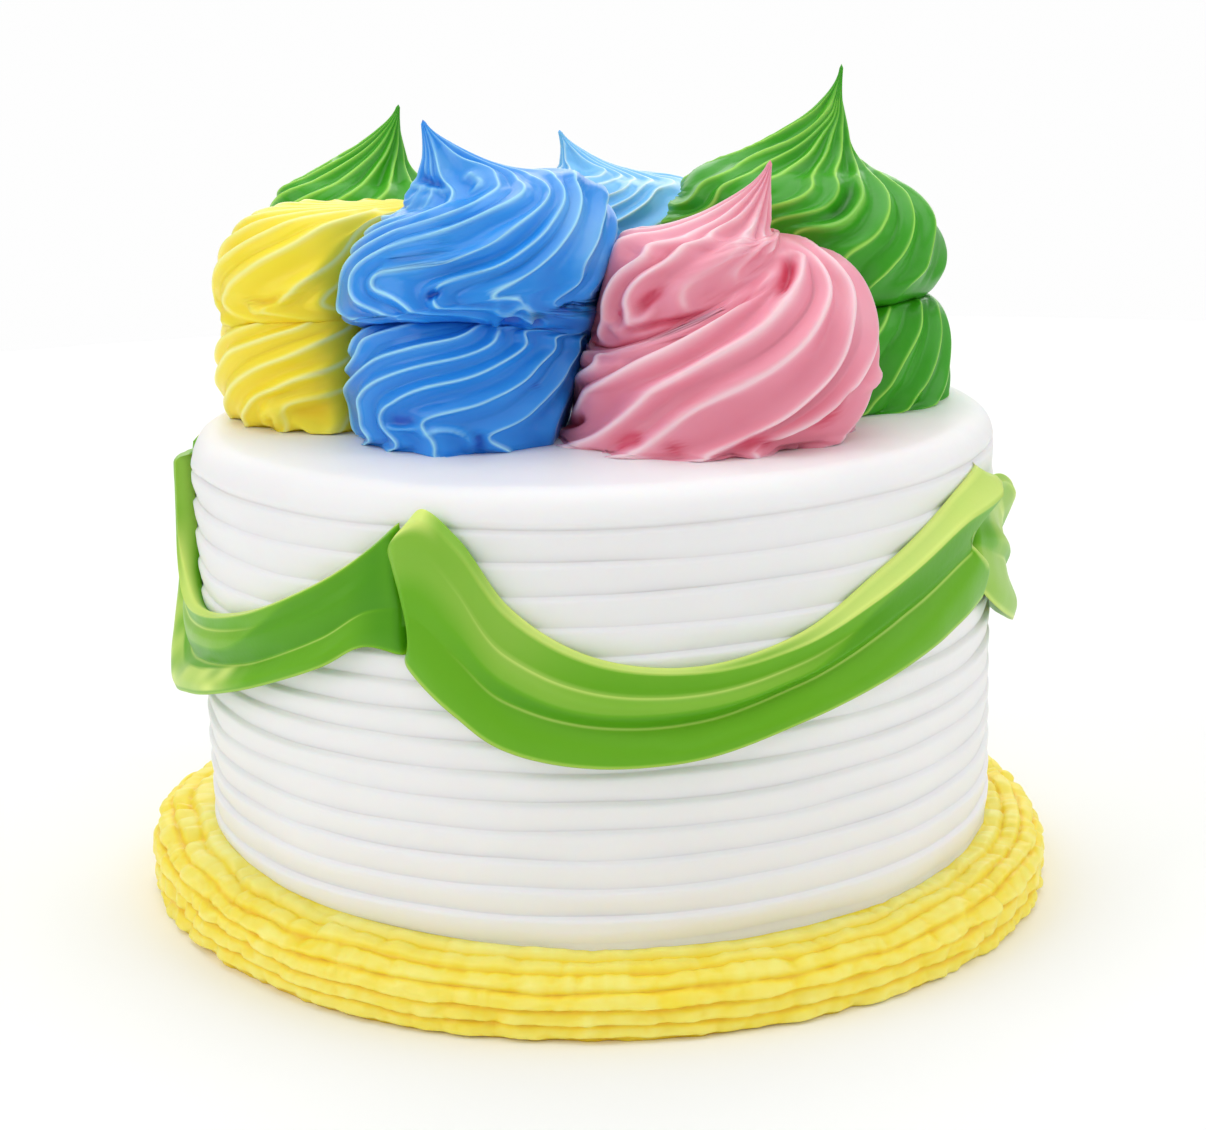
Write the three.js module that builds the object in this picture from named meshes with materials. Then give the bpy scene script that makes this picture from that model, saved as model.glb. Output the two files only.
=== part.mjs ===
// A two-layer birthday cake with combed white icing, a ragged yellow border round its foot,
// five green icing swags on its side and a ring of six large piped swirls on top.
// Millimetres, +Z up. The origin is the middle of the cake's flat underside; the front faces -Y.
import * as THREE from "three";

const GAP = 0.3;
const FULL_TURN = 2 * Math.PI;

// Colours of the six icings.
const WHITE = "#f7f7f8";
const YELLOW = "#fbdc3a";
const BLUE = "#3c8ee6";
const PINK = "#f09cb2";
const GREEN = "#3fa02c";
const LIME = "#76b82e";

// Cake body: an iced cylinder combed into soft bands with thin grooves between them.
const CAKE = {
  radius: 80,
  height: 96,
  rim: 6,
  grooveDepth: 1,
  grooveWidth: 1.6,
  lowBand: 5.27,
  highBand: 5.8,
  firstGroove: 14.2,
  topGroove: 89.6,
  highBandsFrom: 70,
  slant: 0.8,
  segments: 40,
};

// Border: one thick piped ring with rough ridges over its top and down its outer face.
// It was piped higher on the left, reaches a little further on the front and the right, and has
// a heap of icing pushed out at the far left.
const BORDER = {
  inner: 80.5,
  outer: 91.2,
  outerDrift: 1.6,
  heapLeft: 3.8,
  dentRight: 1.2,
  top: 13.5,
  topDrift: 1.6,
  topSides: 1.8,
  shoulderDrop: 0.16,
  corner: 5.5,
  footTuck: 0.6,
  footRise: 2.5,
  ridges: 6,
  ridgeDepth: 1,
  ragged: 0.7,
  segments: 56,
};

// Swags: a flat ribbon piped along the side, from one peak down and up to the next.
// Each station has a point on the ribbon's upper edge and one on its lower edge, each an angle
// from the front in degrees and a height. The lower edge stands off the cake by up to the flare,
// furthest at a share of the ribbon's length.
const RIBBON = {
  clearance: 0.35,
  thickness: 2.4,
  ridge: 0.8,
  steps: 18,
};
const SWAGS = [
  {
    name: "swag_left",
    flare: 4,
    fullest: 0.38,
    stations: [
      { upper: [-83.2, 91.5], lower: [-94.5, 89.5] },
      { upper: [-82.6, 78], lower: [-94.5, 70] },
      { upper: [-80, 67.8], lower: [-90, 54] },
      { upper: [-72.5, 64.4], lower: [-80, 46] },
      { upper: [-64, 65.2], lower: [-66.5, 48.9] },
      { upper: [-50, 69.9], lower: [-50.5, 55] },
      { upper: [-36, 78.6], lower: [-36, 62.8] },
      { upper: [-29, 85], lower: [-29.5, 67.6] },
      { upper: [-26, 89], lower: [-25.9, 67.6] },
    ],
  },
  {
    name: "swag_front",
    flare: 3,
    fullest: 0.6,
    stations: [
      { upper: [-24.9, 89.5], lower: [-24.4, 66.2] },
      { upper: [-21, 93], lower: [-21.8, 62] },
      { upper: [-16.5, 88], lower: [-17.5, 56.8] },
      { upper: [-10.5, 76.2], lower: [-11.8, 51.6] },
      { upper: [-1, 67.5], lower: [-2, 48.4] },
      { upper: [12, 64.6], lower: [11.5, 49] },
      { upper: [25.5, 68.1], lower: [26.5, 54.3] },
      { upper: [37.5, 77], lower: [40.5, 61.6] },
      { upper: [48, 86], lower: [52, 66.2] },
      { upper: [61, 90.6], lower: [61.4, 67.2] },
    ],
  },
  {
    name: "swag_right",
    flare: 3.4,
    fullest: 0.4,
    stations: [
      { upper: [61.8, 90.6], lower: [62.2, 66.8] },
      { upper: [71, 85.5], lower: [70, 58.5] },
      { upper: [81, 78.5], lower: [80.5, 53.5] },
      { upper: [95, 67], lower: [94, 49] },
      { upper: [109, 68], lower: [110, 50.5] },
      { upper: [119, 77.5], lower: [121, 57] },
      { upper: [127.6, 90], lower: [128.2, 68] },
    ],
  },
  {
    name: "swag_back_right",
    flare: 3.4,
    fullest: 0.5,
    stations: [
      { upper: [128.4, 91.5], lower: [129, 67] },
      { upper: [138, 77], lower: [137, 54.5] },
      { upper: [150, 66], lower: [149.5, 48.5] },
      { upper: [163, 66], lower: [164, 49] },
      { upper: [180, 77], lower: [182, 56] },
      { upper: [195.4, 91], lower: [195.6, 68.5] },
    ],
  },
  {
    name: "swag_back_left",
    flare: 3.4,
    fullest: 0.5,
    stations: [
      { upper: [196.4, 91.8], lower: [196.4, 68] },
      { upper: [206, 77.5], lower: [205, 54.5] },
      { upper: [217, 66.5], lower: [216.5, 49.5] },
      { upper: [230, 65.5], lower: [231, 48.5] },
      { upper: [246, 75.5], lower: [248, 55] },
      { upper: [262.5, 90.8], lower: [263.5, 70] },
    ],
  },
];

// Swirls: each is a stack of level rings, from its foot up to its drawn-out tip.
// A ring has a radius, a height above the cake, the shift of its middle from the swirl's middle,
// and a tilt, which is how much higher its side towards +X and its side towards +Y lie.
const SWIRLS = [
  {
    name: "swirl_yellow",
    colour: YELLOW,
    at: [-48.8, 3.5],
    ridges: 14,
    foot: { radius: 22.5, shift: [0, 0] },
    low: { radius: 25.4, height: 9, shift: [-0.5, 0], tilt: [0, 0] },
    gap: { radius: 20.5, height: 19, shift: [0, 0], tilt: [0, -2.5] },
    high: { radius: 25.4, height: 28, shift: [0.2, 0], tilt: [2, 0] },
    crown: { radius: 13, height: 41, shift: [2, 1], tilt: [0.5, 0] },
    tip: { height: 43.5, shift: [17, 2] },
    rise: 1.5,
    draw: 1.35,
    twist: [70, 62, 40],
  },
  {
    name: "swirl_blue_front",
    colour: BLUE,
    at: [-23, -23],
    ridges: 13,
    foot: { radius: 21.5, shift: [0.5, 0] },
    low: { radius: 23.6, height: 9.5, shift: [0.5, 0], tilt: [0, 0] },
    gap: { radius: 18.5, height: 19.4, shift: [0, 0], tilt: [1, -4.5] },
    high: { radius: 26.6, height: 28.5, shift: [3, 0], tilt: [4.5, 0] },
    crown: { radius: 12.5, height: 45.7, shift: [3, 0], tilt: [3.4, 0] },
    tip: { height: 59.2, shift: [-6.7, 0] },
    rise: 1.5,
    draw: 1.35,
    twist: [85, 65, 50],
  },
  {
    name: "swirl_pink",
    colour: PINK,
    at: [23.5, -28.5],
    ridges: 12,
    foot: { radius: 28.2, shift: [-3.8, 0] },
    low: { radius: 28.6, height: 14, shift: [1.4, 0], tilt: [4, 0] },
    gap: { radius: 17.5, height: 27, shift: [-4.8, 0], tilt: [9, 2.6] },
    high: { radius: 18.9, height: 31, shift: [-5.3, 1], tilt: [6.2, 0] },
    crown: { radius: 13.2, height: 37.4, shift: [-0.8, 1], tilt: [0.8, 0] },
    tip: { height: 50.4, shift: [10.6, 1.5] },
    rise: 1.7,
    draw: 1.35,
    twist: [100, 12, 8],
  },
  {
    name: "swirl_green_right",
    colour: GREEN,
    at: [47, 6],
    ridges: 15,
    foot: { radius: 24.5, shift: [0, 0] },
    low: { radius: 25.4, height: 9, shift: [0.5, 0], tilt: [0, 0] },
    gap: { radius: 21.5, height: 19, shift: [-1, 0], tilt: [1.6, -1] },
    high: { radius: 27.3, height: 29, shift: [-2.7, 1], tilt: [-1, 0] },
    crown: { radius: 17.3, height: 46, shift: [-9.5, 1], tilt: [0, 0] },
    tip: { height: 66.2, shift: [4.4, 1] },
    rise: 1.2,
    draw: 1.7,
    twist: [55, 72, 38],
  },
  {
    name: "swirl_blue_back",
    colour: BLUE,
    at: [4, 47],
    ridges: 14,
    foot: { radius: 22.5, shift: [0, 0] },
    low: { radius: 24.5, height: 9, shift: [0, 0], tilt: [0, 0] },
    gap: { radius: 19.5, height: 18.5, shift: [0, 0], tilt: [0, 1] },
    high: { radius: 25, height: 28, shift: [1, 0], tilt: [-2, 0] },
    crown: { radius: 12, height: 42.5, shift: [3, 0], tilt: [-1, 0] },
    tip: { height: 52.3, shift: [-9.1, 1] },
    rise: 1.5,
    draw: 1.35,
    twist: [85, 65, 50],
  },
  {
    name: "swirl_green_left",
    colour: GREEN,
    at: [-43, 41],
    ridges: 14,
    foot: { radius: 22.5, shift: [0, 0] },
    low: { radius: 24.5, height: 9, shift: [0, 0], tilt: [0, 0] },
    gap: { radius: 20, height: 18.5, shift: [0, 0], tilt: [0, 0] },
    high: { radius: 25, height: 30, shift: [0, 0], tilt: [-1, 0] },
    crown: { radius: 13, height: 43.5, shift: [-7, 0], tilt: [-0.5, 0] },
    tip: { height: 58.9, shift: [3.9, 1] },
    rise: 1.15,
    draw: 1.45,
    twist: [70, 62, 40],
  },
];
const RIDGE = { height: 1.5, columns: 2 };
const ROWS = { foot: 2, low: 4, underside: 3, high: 4, spike: 5 };

// Where two neighbours press together: the share of the way between their middles, measured from
// the first, and how far the face leans towards the second for each millimetre of height.
const PRESSED = [
  { first: "swirl_yellow", second: "swirl_blue_front", share: 0.47, lean: -0.05 },
  { first: "swirl_blue_front", second: "swirl_pink", share: 0.37, lean: 0.33 },
  { first: "swirl_pink", second: "swirl_green_right", share: 0.53, lean: -0.1 },
  { first: "swirl_green_right", second: "swirl_blue_back", share: 0.54, lean: 0 },
  { first: "swirl_blue_back", second: "swirl_green_left", share: 0.5, lean: 0 },
  { first: "swirl_green_left", second: "swirl_yellow", share: 0.5, lean: 0 },
];
const PRESS_SOFTNESS = 1.5;

const radians = (degrees) => (degrees * Math.PI) / 180;
const mix = (a, b, t) => a + (b - a) * t;

// A slow, uneven wave round a circle, between about -1 and 1, for handmade unevenness.
function waver(angle, seed) {
  return (
    0.5 * Math.sin(3 * angle + seed * 1.7) +
    0.3 * Math.sin(7 * angle + seed * 2.9) +
    0.2 * Math.sin(13 * angle + seed * 4.1)
  );
}

// The one or two triangles of a face with corners a, b, c and d, cut along its shorter diagonal.
function splitFace(positions, a, b, c, d) {
  if (a === b) {
    return [a, c, d];
  }
  if (c === d) {
    return [a, b, c];
  }
  const apart = (p, q) =>
    Math.hypot(...[0, 1, 2].map((k) => positions[3 * p + k] - positions[3 * q + k]));
  return apart(a, c) <= apart(b, d) ? [a, b, c, a, c, d] : [a, b, d, b, c, d];
}

// A closed mesh from rows of points. Rows close on themselves; a row of one point is a pole.
function loft(rows) {
  const positions = [];
  const starts = [];
  for (const row of rows) {
    starts.push(positions.length / 3);
    for (const point of row) {
      positions.push(...point);
    }
  }
  const index = [];
  for (let j = 0; j + 1 < rows.length; j += 1) {
    const count = Math.max(rows[j].length, rows[j + 1].length);
    const at = (row, i) => starts[row] + (rows[row].length === 1 ? 0 : i % rows[row].length);
    for (let i = 0; i < count; i += 1) {
      const a = at(j, i);
      const b = at(j, i + 1);
      const c = at(j + 1, i + 1);
      const d = at(j + 1, i);
      index.push(...splitFace(positions, a, b, c, d));
    }
  }
  const geometry = new THREE.BufferGeometry();
  geometry.setAttribute("position", new THREE.Float32BufferAttribute(positions, 3));
  geometry.setIndex(index);
  geometry.computeVertexNormals();
  return geometry;
}

function piece(name, geometry, colour, roughness) {
  const material = new THREE.MeshStandardMaterial({ color: colour, roughness, metalness: 0 });
  const mesh = new THREE.Mesh(geometry, material);
  mesh.name = name;
  return mesh;
}

// Heights of the combed grooves, from the foot to just under the rim.
function grooveHeights() {
  const heights = [];
  let z = CAKE.firstGroove;
  while (z < CAKE.topGroove + 1) {
    heights.push(z);
    z += z > CAKE.highBandsFrom ? CAKE.highBand : CAKE.lowBand;
  }
  return heights;
}

// The outline of the cake in section, from the middle of its underside to the middle of its top.
function cakeOutline() {
  const outline = [new THREE.Vector2(0, 0), new THREE.Vector2(CAKE.radius, 0)];
  for (const z of grooveHeights()) {
    const half = CAKE.grooveWidth / 2;
    outline.push(new THREE.Vector2(CAKE.radius, z - half));
    outline.push(new THREE.Vector2(CAKE.radius - CAKE.grooveDepth, z));
  }
  const rimStart = CAKE.height - CAKE.rim;
  for (const turn of [25, 50, 70, 90]) {
    const r = CAKE.radius - CAKE.rim + CAKE.rim * Math.cos(radians(turn));
    const z = rimStart + CAKE.rim * Math.sin(radians(turn));
    outline.push(new THREE.Vector2(r, z));
  }
  outline.push(new THREE.Vector2(0, CAKE.height));
  return outline;
}

// The outline turned about Z. The comb drifted, so the upper grooves lie a little higher on the
// right.
function cakeBody() {
  const outline = cakeOutline();
  const rows = outline.map((point) => {
    const count = point.x === 0 ? 1 : CAKE.segments;
    return Array.from({ length: count }, (_, i) => {
      const angle = (i / CAKE.segments) * FULL_TURN;
      const inBands = point.y > CAKE.highBandsFrom && point.y < CAKE.height - CAKE.rim + 1;
      const drift = inBands ? CAKE.slant * Math.cos(angle) : 0;
      return [point.x * Math.cos(angle), point.x * Math.sin(angle), point.y + drift];
    });
  });
  return piece("cake_body", loft(rows), WHITE, 0.55);
}

// How far the border reaches at one angle.
function borderReach(angle) {
  const side = Math.cos(angle);
  const atSide = side > 0 ? -BORDER.dentRight : BORDER.heapLeft;
  return BORDER.outer + BORDER.outerDrift * side + atSide * side ** 12;
}

// The border's section at one angle: flat underneath, up its outer face, round its shoulder and
// in to the cake, a little higher towards the cake, with a valley between each two ridges.
function borderSection(angle) {
  const side = Math.cos(angle);
  const top = BORDER.top - BORDER.topDrift * side + BORDER.topSides * side ** 2;
  const outer = borderReach(angle);
  const faceLength = top - BORDER.corner;
  const cornerLength = (BORDER.corner * Math.PI) / 2;
  const topLength = outer - BORDER.corner - BORDER.inner;
  const total = faceLength + cornerLength + topLength;
  const points = [[BORDER.inner, 0]];
  const steps = 2 * BORDER.ridges;
  for (let k = 0; k < steps; k += 1) {
    const along = (total * k) / steps;
    const turned = Math.min(Math.max(along - faceLength, 0), cornerLength) / BORDER.corner;
    const flat = Math.max(0, along - faceLength - cornerLength);
    const level = Math.min(along, faceLength) + BORDER.corner * Math.sin(turned);
    const tuck = BORDER.footTuck * Math.max(0, 1 - level / BORDER.footRise) ** 2;
    const r = outer - BORDER.corner * (1 - Math.cos(turned)) - flat - tuck;
    const outward = (r - BORDER.inner) / (outer - BORDER.inner);
    const z = level * (1 - BORDER.shoulderDrop * outward);
    const crest = k % 2 === 1 ? BORDER.ragged * waver(angle, k) : -BORDER.ridgeDepth;
    const relief = k === 0 ? BORDER.ragged * waver(angle, steps) : crest;
    const lift = k === 0 ? 0 : relief * Math.sin(turned);
    points.push([r + relief * Math.cos(turned), z + lift]);
  }
  points.push([BORDER.inner, top]);
  return points;
}

function border() {
  const sections = Array.from({ length: BORDER.segments }, (_, i) => {
    const angle = (i / BORDER.segments) * FULL_TURN;
    return borderSection(angle).map(([r, z]) => [r * Math.cos(angle), r * Math.sin(angle), z]);
  });
  const rows = sections[0].map((_, k) => sections.map((section) => section[k]));
  rows.push(rows[0]);
  return piece("border", loftRing(rows), YELLOW, 0.5);
}

// A closed ring from rows whose last row repeats the first.
function loftRing(rows) {
  const count = rows[0].length;
  const positions = rows.slice(0, -1).flat(2);
  const last = rows.length - 1;
  const index = [];
  for (let j = 0; j < last; j += 1) {
    for (let i = 0; i < count; i += 1) {
      const a = j * count + i;
      const b = j * count + ((i + 1) % count);
      const c = ((j + 1) % last) * count + ((i + 1) % count);
      const d = ((j + 1) % last) * count + i;
      index.push(...splitFace(positions, a, b, c, d));
    }
  }
  const geometry = new THREE.BufferGeometry();
  geometry.setAttribute("position", new THREE.Float32BufferAttribute(positions, 3));
  geometry.setIndex(index);
  geometry.computeVertexNormals();
  return geometry;
}

// The ribbon's section at one place, from its top edge down the outside and back up the inside.
// Across is 0 at the top edge and 1 at the bottom edge; two soft ridges run along the outside.
function ribbonSection(flare) {
  const outside = [0, 0.16, 0.33, 0.5, 0.67, 0.84, 1];
  const inside = [1, 0.5, 0];
  const lift = (t) => RIBBON.clearance + flare * t ** 2.2;
  const relief = (t) => RIBBON.ridge * Math.cos(3 * FULL_TURN * t) ** 2 - RIBBON.ridge;
  const points = outside.map((t) => {
    const edge = t === 0 || t === 1 ? 0.55 : 1;
    return { across: t, out: lift(t) + RIBBON.thickness * edge + relief(t) };
  });
  for (const t of inside) {
    points.push({ across: t, out: lift(t) });
  }
  return points;
}

// A smooth curve through one edge's points, each an angle in degrees and a height.
function edgeCurve(points) {
  return new THREE.CatmullRomCurve3(
    points.map(([angle, height]) => new THREE.Vector3(angle, height, 0)),
    false,
    "centripetal",
  );
}

function swag({ name, flare, fullest, stations }) {
  const upper = edgeCurve(stations.map((station) => station.upper));
  const lower = edgeCurve(stations.map((station) => station.lower));
  const skew = Math.log(0.5) / Math.log(fullest);
  const rows = [];
  for (let j = 0; j <= RIBBON.steps; j += 1) {
    const t = j / RIBBON.steps;
    const from = upper.getPoint(t);
    const to = lower.getPoint(t);
    const slack = Math.sin(Math.PI * t ** skew) ** 0.7;
    rows.push(
      ribbonSection(flare * slack).map(({ across, out }) => {
        const r = CAKE.radius + out;
        const angle = radians(mix(from.x, to.x, across));
        return [r * Math.sin(angle), -r * Math.cos(angle), mix(from.y, to.y, across)];
      }),
    );
  }
  const middle = (row) => {
    const sum = row.reduce((s, p) => [s[0] + p[0], s[1] + p[1], s[2] + p[2]], [0, 0, 0]);
    return [sum.map((value) => value / row.length)];
  };
  const closed = [middle(rows[0]), ...rows, middle(rows[rows.length - 1])];
  return piece(name, loft(closed), LIME, 0.35);
}

// A ring's point in section, part of the way from one level ring to the next. The middle,
// radius, height and tilt each follow their own easing, so a bulge is a quarter of an ellipse.
function between(a, b, radial, vertical) {
  const tiltA = a.tilt ?? [0, 0];
  const tiltB = b.tilt ?? [0, 0];
  return {
    radius: mix(a.radius ?? 0, b.radius ?? 0, radial),
    height: mix(a.height ?? 0, b.height ?? 0, vertical),
    shift: [0, 1].map((k) => mix(a.shift[k], b.shift[k], radial)),
    tilt: [0, 1].map((k) => mix(tiltA[k], tiltB[k], vertical)),
  };
}

// All levels of a swirl from foot to tip, each with the turn of its ridges and their relief.
function levels(swirl) {
  const [lowTwist, highTwist, spikeTwist] = swirl.twist;
  const quarter = Math.PI / 2;
  const list = [];
  const add = (a, b, count, easing, turnFrom, turnTo, reliefFrom, reliefTo) => {
    for (let k = 1; k <= count; k += 1) {
      const t = k / count;
      const [radial, vertical] = easing(t);
      const level = between(a, b, radial, vertical);
      level.turn = radians(mix(turnFrom, turnTo, t));
      level.relief = mix(reliefFrom, reliefTo, t);
      list.push(level);
    }
  };
  const swell = (t) => [Math.sin(quarter * t), 1 - Math.cos(quarter * t)];
  const tuck = (t) => [1 - Math.cos(quarter * t), Math.sin(quarter * t)];
  const drawnOut = (t) => [1 - (1 - t) ** swirl.draw, t ** swirl.rise];
  const half = lowTwist / 2;
  const gapTurn = lowTwist;
  const crownTurn = gapTurn + highTwist;
  list.push({ ...between(swirl.foot, swirl.foot, 0, 0), turn: 0, relief: 1 });
  add(swirl.foot, swirl.low, ROWS.foot, swell, 0, half, 1, 1);
  add(swirl.low, swirl.gap, ROWS.low, tuck, half, gapTurn, 1, 0.3);
  add(swirl.gap, swirl.high, ROWS.underside, swell, gapTurn, gapTurn + 0.35 * highTwist, 0.3, 1);
  add(swirl.high, swirl.crown, ROWS.high, tuck, gapTurn + 0.35 * highTwist, crownTurn, 1, 0.9);
  add(swirl.crown, swirl.tip, ROWS.spike, drawnOut, crownTurn, crownTurn + spikeTwist, 0.9, 0);
  return list;
}

// The flat faces along which a swirl is pressed by its neighbours, each as a direction away from
// the swirl's middle and the distance to the face there, which changes with height.
function pressedFaces(swirl) {
  const byName = Object.fromEntries(SWIRLS.map((other) => [other.name, other]));
  const faces = [];
  for (const { first, second, share, lean } of PRESSED) {
    if (swirl.name !== first && swirl.name !== second) {
      continue;
    }
    const isFirst = swirl.name === first;
    const other = byName[isFirst ? second : first];
    const dx = other.at[0] - swirl.at[0];
    const dy = other.at[1] - swirl.at[1];
    const distance = Math.hypot(dx, dy);
    const towards = [dx / distance, dy / distance];
    const reach = (isFirst ? share : 1 - share) * distance - GAP / 2;
    faces.push({ towards, reach, lean: isFirst ? lean : -lean });
  }
  return faces;
}

// Moves a point in towards its level's middle where a neighbour presses on it.
function press(point, middle, faces) {
  const away = [point[0] - middle[0], point[1] - middle[1]];
  const radius = Math.hypot(...away);
  let least = radius;
  for (const { towards, reach, lean } of faces) {
    const cosine = (away[0] * towards[0] + away[1] * towards[1]) / radius;
    if (cosine < 0.05) {
      continue;
    }
    const fromMiddle = reach + lean * point[2] - middle[0] * towards[0] - middle[1] * towards[1];
    const limit = Math.max(0.5, fromMiddle) / cosine;
    const soft = Math.exp(-least / PRESS_SOFTNESS) + Math.exp(-limit / PRESS_SOFTNESS);
    least = -PRESS_SOFTNESS * Math.log(soft);
  }
  const scale = least / radius;
  return [middle[0] + away[0] * scale, middle[1] + away[1] * scale, point[2]];
}

function swirlPiece(swirl) {
  const faces = pressedFaces(swirl);
  const columns = swirl.ridges * RIDGE.columns;
  const list = levels(swirl);
  const rows = list.slice(0, -1).map((level, j) => {
    const before = list[Math.max(0, j - 1)];
    const after = list[j + 1];
    const rise = Math.max(1e-3, after.height - before.height);
    const run = after.radius - before.radius;
    const length = Math.hypot(rise, run);
    const outward = [rise / length, -run / length];
    return Array.from({ length: columns }, (_, i) => {
      const angle = (i / columns) * FULL_TURN + level.turn;
      const crest = i % RIDGE.columns === 0 ? 1 : 0;
      const relief = level.relief * RIDGE.height * (crest - 0.5);
      const isFoot = j === 0;
      const radius = level.radius + relief * (isFoot ? 1 : outward[0]);
      const tilt = level.tilt[0] * Math.cos(angle) + level.tilt[1] * Math.sin(angle);
      const height = isFoot ? 0 : Math.max(0.4, level.height + tilt + relief * outward[1]);
      const point = [
        level.shift[0] + radius * Math.cos(angle),
        level.shift[1] + radius * Math.sin(angle),
        height,
      ];
      return press(point, level.shift, faces);
    });
  });
  const tip = list[list.length - 1];
  rows.unshift([[...swirl.foot.shift, 0]]);
  rows.push([[...tip.shift, tip.height]]);
  const mesh = piece(swirl.name, loft(rows), swirl.colour, 0.35);
  mesh.position.set(swirl.at[0], swirl.at[1], CAKE.height + GAP);
  return mesh;
}

const cake = new THREE.Group();
cake.add(cakeBody(), border());
cake.add(...SWAGS.map(swag));
cake.add(...SWIRLS.map(swirlPiece));

export default cake;
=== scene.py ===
import itertools
import math

import bpy
import numpy as np
from mathutils import Matrix, Vector


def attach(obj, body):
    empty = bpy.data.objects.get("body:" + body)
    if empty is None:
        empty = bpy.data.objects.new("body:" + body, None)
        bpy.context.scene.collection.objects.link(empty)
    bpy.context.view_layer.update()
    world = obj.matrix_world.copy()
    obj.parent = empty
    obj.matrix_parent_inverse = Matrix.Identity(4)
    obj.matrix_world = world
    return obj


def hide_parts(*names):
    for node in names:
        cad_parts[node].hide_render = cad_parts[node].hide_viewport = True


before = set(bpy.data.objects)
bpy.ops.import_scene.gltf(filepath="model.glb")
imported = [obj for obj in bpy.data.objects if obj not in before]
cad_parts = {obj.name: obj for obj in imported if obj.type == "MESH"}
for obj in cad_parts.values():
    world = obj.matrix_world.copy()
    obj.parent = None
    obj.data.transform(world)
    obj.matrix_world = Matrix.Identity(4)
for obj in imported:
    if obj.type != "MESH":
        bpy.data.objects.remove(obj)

# Everything below is worked out in millimetres and turned into metres when a mesh is made.
MM = 0.001
TAU = 2 * math.pi

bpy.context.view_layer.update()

# Cake body, as in the solids.
CAKE_RADIUS = 80.0
CAKE_HEIGHT = 96.0
RIM = 6.0
GROOVE_DEPTH = 0.85
LOW_BAND = 5.27
HIGH_BAND = 5.8
FIRST_GROOVE = 14.2
TOP_GROOVE = 89.6
HIGH_BANDS_FROM = 70.0
SLANT = 0.8

# Border: higher on the left, reaching a little further at the front and right, with a heap of
# icing pushed out at the far left.
BORDER_INNER = 79.2
BORDER_OUTER = 90.4
BORDER_OUTER_DRIFT = 1.6
BORDER_HEAP_LEFT = 3.8
BORDER_DENT_RIGHT = 1.2
BORDER_TOP = 13.2
BORDER_TOP_DRIFT = 1.6
BORDER_TOP_SIDES = 1.8
BORDER_TOP_HEAP = 1.8
BORDER_SHOULDER_DROP = 0.16
BORDER_CORNER = 5.5
BORDER_FOOT_TUCK = 0.6
BORDER_FOOT_RISE = 2.5
BORDER_RIDGES = 6
BORDER_RELIEF = 0.9

# Swags: stations along each ribbon, from one peak to the next. Each has a point on the upper edge
# and one on the lower edge: an angle from the front in degrees and a height.
RIBBON_LIFT = 0.2
RIBBON_BITE = 0.5
EDGE_THICKNESS = 1.5
SWAGS = {
    "swag_left": [
        (-80, 91.5, -93.5, 89.5), (-78.6, 78, -93, 70), (-77, 67.8, -89, 54),
        (-72.5, 64.4, -80, 46), (-64, 65.2, -66.5, 48.9), (-50, 69.9, -50.5, 55),
        (-36, 78.6, -36, 62.8), (-29, 85, -29.5, 67.6), (-24.8, 90, -24.1, 66.6),
    ],
    "swag_front": [
        (-24.9, 89.5, -24.4, 66.2), (-21, 93, -21.8, 62), (-16.5, 88, -17.5, 56.8),
        (-10.5, 76.2, -11.8, 51.6), (-1, 67.5, -2, 48.4), (12, 64.6, 11.5, 49),
        (25.5, 68, 26.5, 54), (37.5, 75.9, 40.5, 58.9), (48, 82.2, 52, 62.9), (55, 86.4, 57.2, 64.6),
        (62.5, 90.3, 61.4, 65.8),
    ],
    "swag_right": [
        (61.5, 86, 61, 67), (71, 86.2, 70, 59.5), (81, 79, 80.5, 53.5), (95, 67, 94, 49),
        (109, 68, 110, 50.5), (119, 77.5, 121, 57), (127.6, 90, 128.2, 68),
    ],
    "swag_back_right": [
        (128.4, 91.5, 129, 67), (138, 77, 137, 54.5), (150, 66, 149.5, 48.5), (163, 66, 164, 49),
        (180, 77, 182, 56), (195.4, 91, 195.6, 68.5),
    ],
    "swag_back_left": [
        (196.4, 91.8, 196.4, 68), (206, 77.5, 205, 54.5), (217, 66.5, 216.5, 49.5),
        (230, 65.5, 231, 48.5), (246, 75.5, 248, 55), (262.5, 90.8, 263.5, 70),
    ],
}


def mix(a, b, t):
    return a + (b - a) * t


def bell(x, width=1.0):
    return np.exp(-((x / width) ** 2))


def hermite(s, h, start, end, slope_in, slope_out):
    """The cubic between two knots h apart, at the share s of the way."""
    return (
        (2 * s**3 - 3 * s**2 + 1) * start
        + (s**3 - 2 * s**2 + s) * h * slope_in
        + (3 * s**2 - 2 * s**3) * end
        + (s**3 - s**2) * h * slope_out
    )


def smooth_curve(knots, x):
    """A smooth curve through knots of place and value, read at x."""
    places, values = np.array(knots, float).T
    slopes = np.gradient(values, places)
    k = np.clip(np.searchsorted(places, x, side="right") - 1, 0, len(places) - 2)
    h = places[k + 1] - places[k]
    s = (x - places[k]) / h
    return hermite(s, h, values[k], values[k + 1], slopes[k], slopes[k + 1])


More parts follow.
